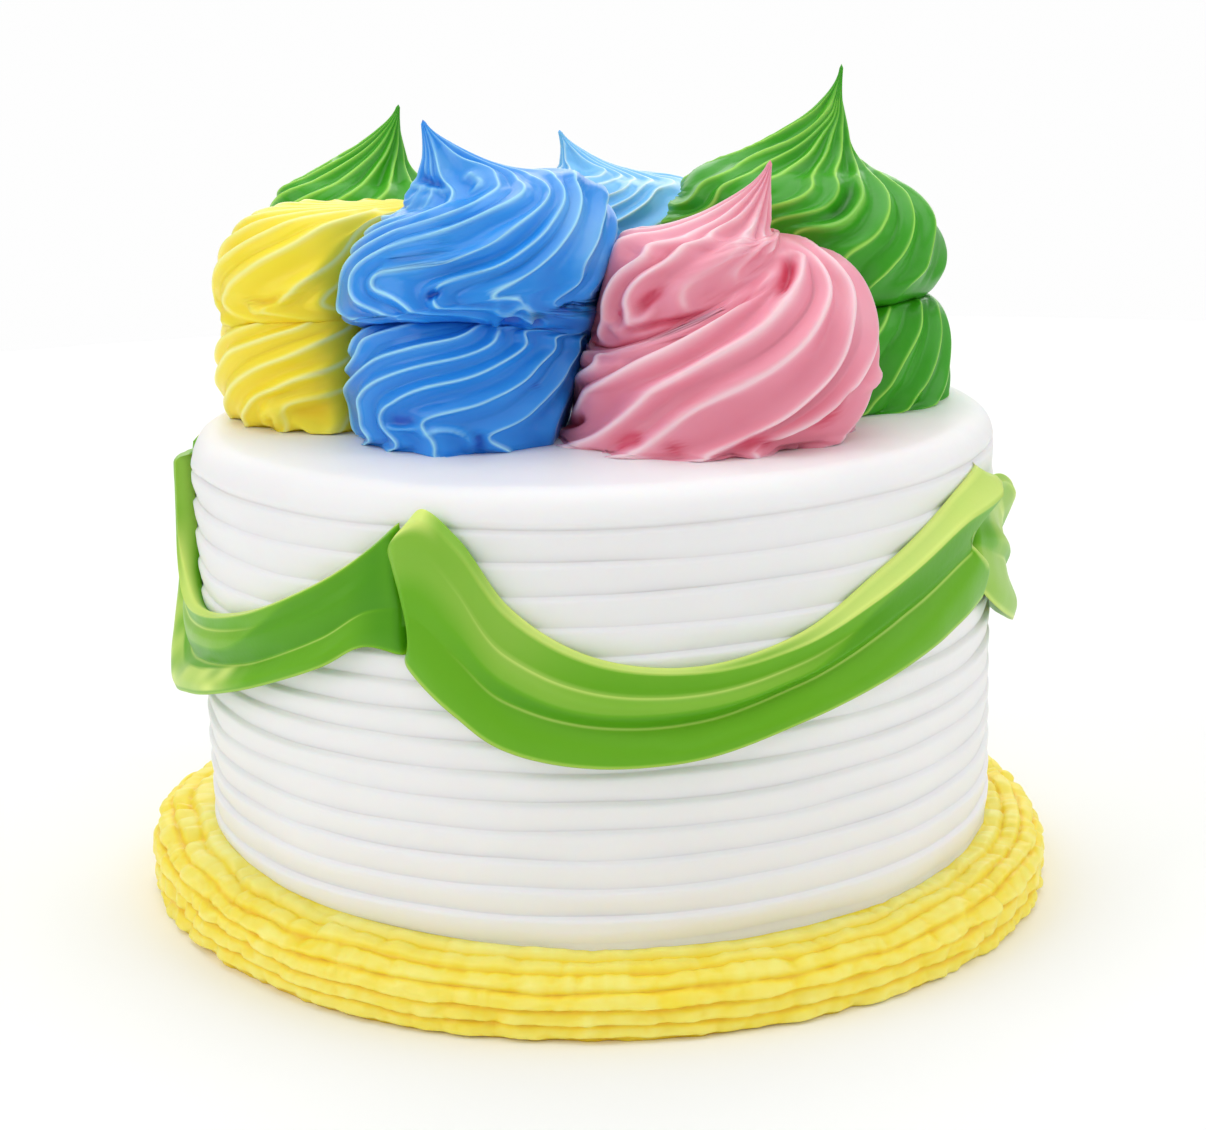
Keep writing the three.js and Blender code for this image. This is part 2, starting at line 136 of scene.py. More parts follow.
def spline_through(stations, samples):
    """A smooth curve through the stations, spaced evenly along it."""
    knots = np.array(stations, float)
    gaps = np.linalg.norm(np.diff(knots, axis=0), axis=1) ** 0.5
    places = np.concatenate([[0], np.cumsum(gaps)])
    slopes = np.gradient(knots, places, axis=0)
    t = np.linspace(0, places[-1], samples * 8)
    k = np.clip(np.searchsorted(places, t, side="right") - 1, 0, len(gaps) - 1)
    h = gaps[k][:, None]
    s = (t[:, None] - places[k][:, None]) / h
    fine = hermite(s, h, knots[k], knots[k + 1], slopes[k], slopes[k + 1])
    length = np.concatenate([[0], np.cumsum(np.linalg.norm(np.diff(fine, axis=0), axis=1))])
    even = np.linspace(0, length[-1], samples)
    return np.stack([np.interp(even, length, fine[:, i]) for i in range(fine.shape[1])], -1)


def smoothstep(low, high, x):
    t = np.clip((x - low) / (high - low), 0.0, 1.0)
    return t * t * (3 - 2 * t)


# Smooth value noise on a hashed lattice, between -1 and 1, the same on every run.
HASH_STEPS = np.array([374761393, 668265263, 2147483647])
HASH_SEED_STEP = 974634777
HASH_MIX = 1274126177


def lattice_value(cells, seed):
    h = (cells * HASH_STEPS).sum(-1) + seed * HASH_SEED_STEP
    h = (h ^ (h >> 13)) * HASH_MIX
    h = h ^ (h >> 16)
    return (h & 0xFFFF) / 32767.5 - 1.0


def noise(points, seed):
    base = np.floor(points).astype(np.int64)
    part = points - base
    ease = part * part * (3 - 2 * part)
    total = np.zeros(points.shape[:-1])
    for corner in itertools.product((0, 1), repeat=3):
        x, y, z = (ease[..., i] if step else 1 - ease[..., i] for i, step in enumerate(corner))
        total += x * y * z * lattice_value(base + np.array(corner), seed)
    return total


def layered_noise(points, seed, layers=3):
    total = np.zeros(points.shape[:-1])
    for k in range(layers):
        total += noise(points * 2.03**k, seed + 17 * k) * 0.5**k
    return total


# Makes a mesh object from a grid of points in millimetres. Columns run round and close on
# themselves; a pole point can close the first and the last row.
def grid_object(name, points, first_pole=None, last_pole=None, closed_rows=False, values=None):
    rows, columns, _ = points.shape
    verts = points.reshape(-1, 3)
    extra = [p for p in (first_pole, last_pole) if p is not None]
    if extra:
        verts = np.vstack([verts, np.array(extra)])
    index = np.arange(rows * columns).reshape(rows, columns)
    below = index if closed_rows else index[:-1]
    above = np.roll(index, -1, axis=0) if closed_rows else index[1:]
    faces = [
        np.stack([below, np.roll(below, -1, 1), np.roll(above, -1, 1), above], -1).reshape(-1, 4)
    ]
    loops = faces[0].reshape(-1)
    starts = np.arange(len(faces[0])) * 4
    pole = rows * columns
    for point, ring, flip in ((first_pole, index[0], True), (last_pole, index[-1], False)):
        if point is None:
            continue
        after = np.roll(ring, -1)
        near, far = (after, ring) if flip else (ring, after)
        fan = np.stack([near, far, np.full(columns, pole)], -1)
        starts = np.concatenate([starts, len(loops) + np.arange(columns) * 3])
        loops = np.concatenate([loops, fan.reshape(-1)])
        pole += 1
    mesh = bpy.data.meshes.new(name)
    mesh.vertices.add(len(verts))
    mesh.vertices.foreach_set("co", (verts * MM).astype(np.float32).reshape(-1))
    mesh.loops.add(len(loops))
    mesh.loops.foreach_set("vertex_index", loops.astype(np.int32))
    mesh.polygons.add(len(starts))
    mesh.polygons.foreach_set("loop_start", starts.astype(np.int32))
    mesh.update(calc_edges=True)
    mesh.validate()
    mesh.shade_smooth()
    for key, value in (values or {}).items():
        flat = np.concatenate([value.reshape(-1), np.zeros(len(extra))])
        layer = mesh.attributes.new(key, "FLOAT", "POINT")
        layer.data.foreach_set("value", flat.astype(np.float32))
    obj = bpy.data.objects.new(name, mesh)
    bpy.context.scene.collection.objects.link(obj)
    return obj


# Node materials.
def linear(colour):
    r, g, b = (int(colour[i:i + 2], 16) / 255 for i in (1, 3, 5))
    return tuple(c / 12.92 if c <= 0.04045 else ((c + 0.055) / 1.055) ** 2.4 for c in (r, g, b)) + (1.0,)


def new_material(name):
    material = bpy.data.materials.new(name)
    material.use_nodes = True
    nodes = material.node_tree.nodes
    shader = nodes["Principled BSDF"]
    return material, nodes, material.node_tree.links, shader


# What all the icings share.
STREAK_DETAIL = 4.0
GRAIN_SCALE = 700.0
GRAIN_DETAIL = 3.0
BODY_COLOUR_AT = 0.45
GLOSS_RANGE = (0.8, 1.25)
BUMP_STRENGTH = 0.12
BUMP_DISTANCE = 0.0003
SUBSURFACE = 0.35
SUBSURFACE_RADIUS = (1.0, 0.6, 0.4)
COAT_ROUGHNESS = 0.15


def icing(name, body, crest, fold, roughness, depth, streak_scale=90.0, grain=0.12, coat=0.0, shine=0.5):
    """Icing: a body colour with a painted highlight on thin crests and painted shade in the folds, led by the
    painted_shading attribute, with faint streaks, a soft sheen and light that enters the surface a little."""
    material, nodes, links, shader = new_material(name)

    def add(kind, **settings):
        node = nodes.new("ShaderNode" + kind)
        for socket, value in settings.items():
            node.inputs[socket.replace("_", " ")].default_value = value
        return node

    place = add("TexCoord").outputs["Object"]
    # The painted_shading attribute carries the painted light and shade of each mesh.
    painted_shading = add("Attribute")
    painted_shading.attribute_name = "painted_shading"
    streaks = add("TexNoise", Scale=streak_scale, Detail=STREAK_DETAIL)
    links.new(place, streaks.inputs["Vector"])
    shift = add("Math")
    shift.operation = "MULTIPLY_ADD"
    shift.inputs[1].default_value = grain
    links.new(streaks.outputs["Fac"], shift.inputs[0])
    links.new(painted_shading.outputs["Fac"], shift.inputs[2])
    # From the painted shade colour of the folds through the body colour to the painted highlight colour of
    # the crests.
    ramp = add("ValToRGB")
    stops = ramp.color_ramp.elements
    stops[0].color, stops[1].color = linear(fold), linear(crest)
    stops.new(BODY_COLOUR_AT).color = linear(body)
    links.new(shift.outputs[0], ramp.inputs["Fac"])
    links.new(ramp.outputs["Color"], shader.inputs["Base Color"])
    fine = add("TexNoise", Scale=GRAIN_SCALE, Detail=GRAIN_DETAIL)
    links.new(place, fine.inputs["Vector"])
    gloss = add("MapRange", To_Min=roughness * GLOSS_RANGE[0], To_Max=roughness * GLOSS_RANGE[1])
    links.new(streaks.outputs["Fac"], gloss.inputs["Value"])
    links.new(gloss.outputs["Result"], shader.inputs["Roughness"])
    bump = add("Bump", Strength=BUMP_STRENGTH, Distance=BUMP_DISTANCE)
    links.new(fine.outputs["Fac"], bump.inputs["Height"])
    links.new(bump.outputs["Normal"], shader.inputs["Normal"])
    shader.inputs["Subsurface Weight"].default_value = SUBSURFACE
    shader.inputs["Subsurface Radius"].default_value = SUBSURFACE_RADIUS
    shader.inputs["Subsurface Scale"].default_value = depth * MM
    shader.inputs["Specular IOR Level"].default_value = shine
    shader.inputs["Coat Weight"].default_value = coat
    shader.inputs["Coat Roughness"].default_value = COAT_ROUGHNESS
    return material


# Body colour, painted highlight colour of crests, painted shade colour of folds, roughness, subsurface depth
# in mm.
WHITE_ICING = icing("white icing", "#edecec", "#fbfbfc", "#e4e3e2", 0.5, 2.5, 60.0, 0.2)
YELLOW_ICING = icing("yellow icing", "#ffe43a", "#fff48a", "#f7c81c", 0.42, 2.5, 160.0, 0.2)
YELLOW_SWIRL = icing("yellow swirl icing", "#ffe838", "#fff696", "#f5cf1a", 0.38, 2.5, shine=0.35)
BLUE_ICING = icing("blue icing", "#2a96ee", "#a0defe", "#0e50c0", 0.3, 1.5, coat=0.1, shine=0.35)
BLUE_BACK = icing("pale blue icing", "#78c6fc", "#d8f4ff", "#338ae8", 0.3, 1.5, coat=0.1, shine=0.35)
PINK_ICING = icing("pink icing", "#f09cb0", "#fcd3dc", "#d84565", 0.38, 2.0, shine=0.35)
GREEN_ICING = icing("green icing", "#3aa412", "#9fe05a", "#207a08", 0.32, 1.5, coat=0.08, shine=0.3)
LIME_ICING = icing("lime icing", "#6eb41a", "#dcf080", "#44940e", 0.36, 1.5, 50.0, 0.06, shine=0.22)


# Cake body.
GROOVE_WAVER = 0.4
RIM_ROWS = 13
# Where in the height of a band the short ledge at its top starts, and how long it is.
LEDGE_FROM = 0.8
LEDGE_LENGTH = 0.2
# Rows of a band: close together at its ledge and wider apart up its face.
BAND_ROWS = np.array([0, 0.04, 0.12, 0.22, 0.34, 0.46, 0.58, 0.68, 0.76, 0.82, 0.88, 0.93, 0.97])
# Slow swells of the surface, and the fine streaks that the comb left.
SWELL_HEIGHT = 0.3
SWELL_LENGTH = 22.0
STREAK_HEIGHT = 0.05
STREAK_LENGTHS = np.array([9.0, 9.0, 1.6])


def groove_heights():
    heights = []
    z = FIRST_GROOVE
    while z < TOP_GROOVE + 1:
        heights.append(z)
        z += HIGH_BAND if z > HIGH_BANDS_FROM else LOW_BAND
    return heights


def cake_body():
    columns = 330
    angle = np.arange(columns) / columns * TAU
    ring = np.stack([np.cos(angle), np.sin(angle)], -1)
    # The comb drifted a little, so each groove wavers and the upper ones rise to the right.
    grooves = []
    for k, height in enumerate(groove_heights()):
        drift = SLANT * smoothstep(40, HIGH_BANDS_FROM, height) * np.cos(angle)
        place = np.concatenate([ring * 2.6, np.full((columns, 1), 1.7 * k)], -1)
        grooves.append(height + drift + GROOVE_WAVER * layered_noise(place, 5, 2))
    grooves = np.array(grooves)
    last = len(grooves) - 1
    band = np.append((np.arange(last)[:, None] + BAND_ROWS).ravel(), last)
    wall = np.stack([np.interp(band, np.arange(last + 1), column) for column in grooves.T], -1)
    below = np.linspace(0, 1, 6)[:-1, None] * grooves[:1]
    # A face that leans in towards its lower edge, and a short ledge at its top.
    share = band - np.floor(band)
    leaning = 1 - np.maximum(0, 1 - share / LEDGE_FROM) ** 1.7
    ledge = np.cos(math.pi / 2 * np.clip((share - LEDGE_FROM) / LEDGE_LENGTH, 0, 1))
    face = np.minimum(leaning, ledge)
    face[-1] = 0.0
    around = np.repeat((ring * 3.1)[None], len(band), 0)
    upwards = np.repeat(np.round(band)[:, None, None] * 2.3, columns, 1)
    strength = 0.85 + 0.4 * layered_noise(np.concatenate([around, upwards], -1), 9, 2)
    strength = np.clip(strength, 0.3, 1.25)
    cut = GROOVE_DEPTH * (face[:, None] - 1) * strength
    rim_turn = np.linspace(0.0, math.pi / 2, RIM_ROWS + 1)[1:, None]
    rim_height = CAKE_HEIGHT - RIM
    rim_z = (grooves[-1:] - rim_height) * np.linspace(1, 0, RIM_ROWS)[:, None] + rim_height
    rim_z = rim_z + RIM * np.sin(rim_turn)
    rim_r = CAKE_RADIUS - RIM + RIM * np.cos(rim_turn) + 0 * angle
    top = np.linspace(CAKE_RADIUS - RIM, 2.0, 22)[1:, None] + 0 * angle
    r = np.concatenate([np.full_like(below, CAKE_RADIUS), CAKE_RADIUS + cut, rim_r, top])
    z = np.concatenate([below, wall, rim_z, np.full_like(top, CAKE_HEIGHT)])
    out_z = np.concatenate([np.zeros((len(below) + len(wall), 1)), np.sin(rim_turn), np.ones((len(top), 1))])
    out_r = np.sqrt(1 - out_z**2)
    flat = np.stack([r * np.cos(angle), r * np.sin(angle), z], -1)
    soft = SWELL_HEIGHT * layered_noise(flat / SWELL_LENGTH, 21)
    soft = soft + STREAK_HEIGHT * layered_noise(flat / STREAK_LENGTHS, 27)
    points = flat + np.stack([soft * out_r * np.cos(angle), soft * out_r * np.sin(angle), soft * out_z], -1)
    points[0, :, 2] = 0.0
    # Painted shade on the lower part of each band, where its face leans in above a groove; painted light on
    # the swells.
    shade = np.exp(-share / 0.16)[:, None] * strength
    shade = np.concatenate([np.zeros_like(below), shade, np.zeros_like(rim_r), np.zeros_like(top)])
    painted_shading = np.clip(0.6 - 0.45 * shade + 0.1 * soft, 0, 1)
    top_point = float(points[-1, :, 2].mean())
    return grid_object("icing_cake_body", points, (0, 0, 0), (0, 0, top_point), values={"painted_shading": painted_shading})


# Border. Noise is read on a ring of this radius.
NOISE_RING = 92
LUMP_LENGTH = 7.5
LAYER_JUMP = 2.7
ROLL_DEPTH = 1.05
LUMP_DEPTH = 0.5
TORN_DEPTH = 0.9


def border():
    columns, rows = 760, 84
    angle = np.arange(columns) / columns * TAU
    a = np.repeat(angle[None, :], rows, 0)
    side = np.cos(a)
    top = BORDER_TOP - BORDER_TOP_DRIFT * side + BORDER_TOP_SIDES * side**2
    top = top + BORDER_TOP_HEAP * np.clip(-side, 0, 1) ** 8
    at_side = np.where(side > 0, -BORDER_DENT_RIGHT, BORDER_HEAP_LEFT) * side**12
    outer = BORDER_OUTER + BORDER_OUTER_DRIFT * side + at_side
    face = top - BORDER_CORNER
    corner = BORDER_CORNER * math.pi / 2
    total = face + corner + outer - BORDER_CORNER - BORDER_INNER
    share = np.repeat(np.linspace(0, 1, rows)[:, None], columns, 1)
    along = share * total
    turned = np.clip(along - face, 0, corner) / BORDER_CORNER
    inward = np.maximum(0, along - face - corner)
    level = np.minimum(along, face) + BORDER_CORNER * np.sin(turned)
    tuck = BORDER_FOOT_TUCK * np.maximum(0, 1 - level / BORDER_FOOT_RISE) ** 2
    r = outer - BORDER_CORNER * (1 - np.cos(turned)) - inward - tuck
    z = level * (1 - BORDER_SHOULDER_DROP * (r - BORDER_INNER) / (outer - BORDER_INNER))
    round_it = np.stack([np.cos(a) * NOISE_RING, np.sin(a) * NOISE_RING], -1)

    def uneven(scale, third, seed, layers=3):
        return layered_noise(np.concatenate([round_it / scale, third[..., None]], -1), seed, layers)

    # Rolls of icing lie over one another, their lower lips torn into lumps, most at the sides.
    rough = 0.4 + 0.6 * side**2
    drift = uneven(24.0, along / 7, 41)
    jumps = np.clip(3 * uneven(9.0, along / 9, 43, 1), -1, 1)
    phase = share * BORDER_RIDGES + 0.22 * drift + 0.1 * rough * jumps
    phase = np.clip(phase, 0, BORDER_RIDGES - 0.001)
    layer = np.floor(phase)
    saw = phase - layer
    roll = smoothstep(0.0, 0.28, saw) * (1 - 0.8 * np.clip((saw - 0.28) / 0.72, 0, 1) ** 1.5)
    lump_phase = a * NOISE_RING / LUMP_LENGTH + 2.0 * uneven(11.0, layer * LAYER_JUMP, 47, 1) + 0.37 * layer
    lump = np.abs(np.sin(math.pi * lump_phase)) ** 0.7
    torn = uneven(5.0, layer * LAYER_JUMP, 51)
    clots = uneven(3.4, z / 3.4, 67)
    grain = uneven(1.7, z / 1.1, 61, 2)
    lumps = LUMP_DEPTH * (lump - 0.7) * (0.4 + roll) + TORN_DEPTH * torn * (0.3 + roll)
    depth = ROLL_DEPTH * (roll - 0.6) + rough * lumps
    depth = depth + (0.25 + 0.4 * rough) * clots + 0.14 * grain
    depth = np.where(depth > 0, BORDER_RELIEF * np.tanh(depth / BORDER_RELIEF), depth)
    # At the wall the icing lies flat.
    depth *= smoothstep(1.0, 0.94, share)
    reach = r + depth * np.cos(turned)
    points = np.stack([reach * np.cos(a), reach * np.sin(a), np.maximum(z + depth * np.sin(turned), 0.0)], -1)
    points[0, :, 2] = 0.0
    foot = np.stack([BORDER_INNER * np.cos(angle), BORDER_INNER * np.sin(angle), 0 * angle], -1)
    points = np.concatenate([foot[None], points], 0)
    # Painted shade between the rolls and lumps; painted light on rolls, clots, grain and the top of the
    # border.
    valley = bell(saw, 0.1) + bell(1 - saw, 0.16) + 0.25 * rough * smoothstep(0.4, 0.0, lump)
    painted_shading = 0.5 - 0.36 * valley + 0.1 * grain + 0.16 * clots
    painted_shading = painted_shading + 0.14 * (roll - 0.5) + 0.2 * smoothstep(0.7, 0.9, share)
    painted_shading = np.clip(np.concatenate([painted_shading[:1], painted_shading], 0), 0, 1)
    return grid_object("icing_border", points, closed_rows=True, values={"painted_shading": painted_shading})


# Swags. Sections of the ribbons at shares of their length: nine features from the top edge to the
# bottom one, first their shares across and then their heights off the cake. The second and the
# sixth are sharp.
FOLDED = [
    (0.00, [0, 0.06, 0.18, 0.35, 0.50, 0.62, 0.70, 0.88, 1],
     [2.2, 3.4, 3.8, 3.8, 3.6, 3.4, 3.5, 3.4, 2.6]),
    (0.07, [0, 0.05, 0.20, 0.36, 0.50, 0.64, 0.72, 0.90, 1],
     [1.6, 3.2, 3.8, 3.6, 3.6, 3.2, 3.4, 3.5, 2.8]),
    (0.18, [0, 0.04, 0.32, 0.40, 0.52, 0.66, 0.72, 0.90, 1],
     [0.4, 2.6, 2.7, 3.3, 3.5, 2.6, 3.0, 3.6, 3.2]),
    (0.32, [0, 0.03, 0.30, 0.38, 0.50, 0.62, 0.68, 0.90, 1],
     [0.3, 2.3, 2.4, 3.6, 3.9, 2.3, 3.0, 4.2, 4.0]),
    (0.46, [0, 0.03, 0.28, 0.35, 0.44, 0.60, 0.66, 0.88, 1],
     [0.3, 2.3, 2.4, 3.6, 4.0, 2.2, 3.0, 4.7, 4.6]),
    (0.60, [0, 0.08, 0.31, 0.38, 0.46, 0.57, 0.63, 0.88, 1],
     [0.3, 2.9, 2.5, 3.2, 3.6, 2.4, 3.1, 4.9, 4.8]),
    (0.75, [0, 0.135, 0.30, 0.38, 0.46, 0.54, 0.60, 0.88, 1],
     [0.2, 4.2, 3.0, 3.0, 3.0, 2.4, 3.2, 4.8, 4.6]),
    (0.90, [0, 0.12, 0.34, 0.40, 0.45, 0.50, 0.56, 0.88, 1],
     [0.1, 4.6, 3.7, 3.3, 3.1, 2.8, 3.4, 4.2, 3.8]),
    (1.00, [0, 0.27, 0.36, 0.46, 0.50, 0.55, 0.60, 0.88, 1],
     [0.2, 4.8, 4.0, 3.8, 3.6, 3.3, 3.8, 3.6, 3.0]),
]
FLARED = [
    (0.00, [0, 0.05, 0.20, 0.35, 0.50, 0.60, 0.66, 0.90, 1],
     [2.6, 3.0, 3.2, 3.2, 3.0, 2.8, 2.8, 2.8, 2.4]),
    (0.20, [0, 0.05, 0.20, 0.35, 0.50, 0.60, 0.66, 0.90, 1],
     [3.2, 3.6, 3.4, 2.6, 1.7, 1.2, 1.5, 4.6, 4.0]),
    (0.34, [0, 0.03, 0.14, 0.26, 0.38, 0.54, 0.62, 0.88, 1],
     [1.8, 3.6, 3.1, 3.4, 3.0, 1.7, 2.4, 6.0, 5.4]),
    (0.48, [0, 0.03, 0.16, 0.28, 0.40, 0.58, 0.65, 0.90, 1],
     [1.0, 3.0, 2.6, 3.4, 3.2, 2.3, 3.6, 6.2, 5.8]),
    (0.68, [0, 0.03, 0.22, 0.34, 0.48, 0.68, 0.74, 0.93, 1],
     [0.6, 2.8, 2.5, 3.4, 3.3, 2.4, 3.4, 5.2, 4.8]),
    (0.85, [0, 0.03, 0.22, 0.36, 0.50, 0.66, 0.73, 0.92, 1],
     [0.4, 2.5, 2.4, 3.2, 3.2, 2.6, 3.0, 3.9, 3.4]),
    (1.00, [0, 0.04, 0.20, 0.36, 0.50, 0.62, 0.70, 0.90, 1],
     [0.3, 1.8, 2.0, 2.1, 2.1, 1.7, 1.9, 2.0, 1.6]),
]
GATHERED = [
    (0.00, [0, 0.06, 0.22, 0.36, 0.50, 0.60, 0.68, 0.88, 1],
     [0.6, 1.6, 1.2, 1.2, 1.6, 1.8, 2.2, 2.6, 1.6]),
    (0.10, [0, 0.06, 0.16, 0.34, 0.50, 0.60, 0.68, 0.88, 1],
     [1.6, 2.6, 1.2, 1.2, 3.0, 2.5, 2.9, 3.6, 2.6]),
    (0.22, [0, 0.05, 0.13, 0.32, 0.48, 0.58, 0.68, 0.88, 1],
     [4.2, 4.6, 1.8, 1.4, 3.8, 2.9, 3.3, 5.0, 4.0]),
    (0.40, [0, 0.03, 0.16, 0.28, 0.40, 0.55, 0.62, 0.90, 1],
     [1.4, 3.4, 2.6, 3.4, 3.4, 2.4, 3.6, 5.2, 4.8]),
] + FLARED[4:]
SHARP_FEATURES = (1, 5)
SECTION_SMOOTHING = 25


def reversed_sections(sections):
    return [(1 - share, across, heights) for share, across, heights in reversed(sections)]


SWAG_SECTIONS = {
    "swag_left": FLARED,
    "swag_front": FOLDED,
    "swag_right": GATHERED,
    "swag_back_right": FOLDED,
    "swag_back_left": reversed_sections(FOLDED),
}
# How the ends of a ribbon are cut: shares across with the degrees that the end there lies on.
RIM_END = [(0, 1.2), (0.17, -0.9), (0.3, -0.6), (0.55, 0.2), (0.9, 0.6), (1, 0)]
CUPPED_END = [(0, 1.0), (0.1, 4.5), (0.18, 8.0), (0.25, 5.0), (0.42, -5), (0.6, -3.2), (0.75, 0.3), (1, 0)]
STRAIGHT_END = [(0, 0), (1, 0)]
SWAG_ENDS = {
    "swag_front": (RIM_END, CUPPED_END),
    "swag_back_right": (RIM_END, STRAIGHT_END),
}
END_REACH = 0.07
END_ROUNDING = 2.0
RIBBON_WAVER = 0.28
RIBBON_SWAY = 0.25


def section_rows(sections, along):
    """Across shares and heights of the nine features at every place along the ribbon."""
    shares, *tables = (np.array(column, float) for column in zip(*sections))
    kernel = np.hanning(SECTION_SMOOTHING)[1:-1]
    kernel /= kernel.sum()
    rows = []
    for table in tables:
        plain = [np.interp(along, shares, feature) for feature in table.T]
        padded = [np.pad(feature, len(kernel) // 2, mode="edge") for feature in plain]
        rows.append(np.stack([np.convolve(feature, kernel, mode="valid") for feature in padded], -1))
    return rows


def section_curve(across, heights, columns):
    """Runs a smooth line through one row's features, broken at the sharp ones."""
    at = np.linspace(0, 8, columns)
    t = np.interp(at, np.arange(9), across)
    h = np.zeros(columns)
    cuts = (0,) + SHARP_FEATURES + (8,)
    for first, last in zip(cuts[:-1], cuts[1:]):
        here = (at >= first) & (at <= last)
        places, values = across[first:last + 1], heights[first:last + 1]
        if last - first < 2:
            h[here] = np.interp(t[here], places, values)
        else:
            h[here] = smooth_curve(list(zip(places, values)), t[here])
    return t, h


def swag(name, stations, seed):
    samples, outside, inside = 220, 65, 15
    route = spline_through(stations, samples)
    along = np.linspace(0, 1, samples)
    across, heights = section_rows(SWAG_SECTIONS[name], along)
    rows = [section_curve(a, h, outside) for a, h in zip(across, heights)]
    t, h = (np.array(part) for part in zip(*rows))
    along = along[:, None]
    place = np.stack([along * 12 + 0 * t, t * 2.2, np.full_like(t, seed * 3.3)], -1)
    h = h + RIBBON_WAVER * layered_noise(place, 71, 2) * smoothstep(0, 0.1, t) + RIBBON_LIFT
    # The back lies on the icing and comes away from it towards the thin lower edge.
    t_back = np.repeat(np.linspace(1, 0, inside + 2)[None, 1:-1], samples, 0)
    edge = h[:, -1:] - EDGE_THICKNESS
    h_back = mix(-RIBBON_BITE, edge, smoothstep(0.55, 1.05, t_back))
    t_all = np.concatenate([t, t_back], 1)
    h_all = np.concatenate([h, h_back], 1)
    # Both ends close in a round edge.
    middle = (route[:, :2] + route[:, 2:]) / 2
    steps = np.diff(middle * np.array([math.radians(CAKE_RADIUS), 1]), axis=0)
    length = np.concatenate([[0], np.cumsum(np.linalg.norm(steps, axis=1))])
    from_end = np.minimum(length, length[-1] - length)[:, None]
    close = np.sqrt(1 - (1 - np.clip(from_end / END_ROUNDING, 0, 1)) ** 2)
    h_all = -RIBBON_BITE + (h_all + RIBBON_BITE) * (0.2 + 0.8 * close)
    degrees = mix(route[:, 0:1], route[:, 2:3], t_all)
    start_end, far_end = SWAG_ENDS.get(name, (STRAIGHT_END, STRAIGHT_END))
    degrees = degrees + smoothstep(END_REACH, 0, along) * smooth_curve(start_end, t_all)
    degrees = degrees + smoothstep(1 - END_REACH, 1, along) * smooth_curve(far_end, t_all)
    angle = np.radians(degrees)
    sway = RIBBON_SWAY * noise(np.stack([along * 9, 0 * along, 0 * along + seed], -1), 83)
    height = mix(route[:, 1:2], route[:, 3:4], t_all) + sway
    radius = CAKE_RADIUS + h_all
    points = np.stack([radius * np.sin(angle), -radius * np.cos(angle), height], -1)
    shade = swag_tints(name, swag_shade(along, across, t), along, t, place)
    edge_shade = 0.25 + (0.35 * smoothstep(0.3, 0.15, along) if name == "swag_left" else 0)
    shade = np.concatenate([np.clip(shade, 0, 1), edge_shade + 0 * t_back], 1)
    first, last = points[0].mean(0), points[-1].mean(0)
    return grid_object("icing_" + name, points, first, last, values={"painted_shading": shade})


def swag_tints(name, shade, along, t, place):
    """Adds the painted highlights, painted shade and other light and dark patches that only one of the
    ribbons has.
    """
    if name == "swag_front":
        # A pale knob at the left peak as a painted highlight, olive below it, and the pale rim of the
        # gathered end.
        shade = shade + 0.7 * smoothstep(0.09, 0.03, along) * smoothstep(0.14, 0.05, t)
        shade = shade + 0.1 * smoothstep(0.36, 0.2, along) * smoothstep(0.55, 0.3, t)
        rim = smoothstep(0.36, 0.45, t) * smoothstep(0.8, 0.72, t)
        shade = shade + 0.45 * smoothstep(0.965, 0.99, along) * rim
    elif name == "swag_right":
        # A dark hollow at the gathered start, as painted shade.
        hollow = smoothstep(0.15, 0.25, t) * smoothstep(0.65, 0.5, t)
        shade = shade - 0.3 * smoothstep(0.13, 0.06, along) * hollow
        shade = shade + 0.2 * smoothstep(0.45, 0.25, along)
    elif name == "swag_left":
        # A painted glossy sheen on a flat facet low on the flare, and the painted shadow of the next ribbon's
        # end.
        facet = smoothstep(0.22, 0.3, along) * smoothstep(0.72, 0.6, along)
        facet = facet * smoothstep(0.66, 0.7, t) * smoothstep(0.97, 0.93, t)
        shade = shade + 0.4 * facet * (1 + 0.7 * noise(place * 2.5, 93))
        shade = shade - 0.25 * smoothstep(0.9, 0.97, along)
        shade = shade + 0.1 * smoothstep(0.2, 0.1, along)
    return shade


def swag_shade(along, across, t):
    """Painted highlights on thin pale crests, painted light on a pale upper band and painted shade in a dark
    valley along a ribbon.
    """
    second, third, fifth, sixth = (across[:, k:k + 1] for k in (1, 2, 4, 5))
    middle_part = smoothstep(0.05, 0.3, along) * smoothstep(1.0, 0.9, along)
    lip = 0.5 * bell(t, 0.025) * smoothstep(0.12, 0.27, along)
    ridge_two = 0.25 * bell(t - second, 0.014) * middle_part
    ridge_three = 0.3 * bell(t - third - 0.012, 0.012) * smoothstep(0.75, 0.55, along)
    ridge_six = 0.32 * bell(t - sixth - 0.012, 0.012)
    low_edge = 0.25 * bell(t - 0.985, 0.02)
    light = 0.1 * smoothstep(third - 0.01, third + 0.01, t) * smoothstep(fifth + 0.03, fifth - 0.03, t)
    light = light * smoothstep(0.75, 0.55, along)
    dark_from = mix(fifth, second + 0.03, smoothstep(0.6, 0.8, along))
    dark = 0.24 * smoothstep(dark_from - 0.04, dark_from + 0.05, t)
    dark = dark * smoothstep(sixth + 0.005, sixth - 0.01, t)
    upper = 0.5 * smoothstep(0.01, -0.01, t - second) * smoothstep(0.05, 0.12, second)
    upper = upper * (0.75 + 0.25 * t / np.maximum(second, 0.01))
    shade = 0.4 + 0.06 * (0.5 - t) + lip + ridge_two + low_edge + upper
    return shade + (ridge_three + ridge_six + light - dark) * middle_part


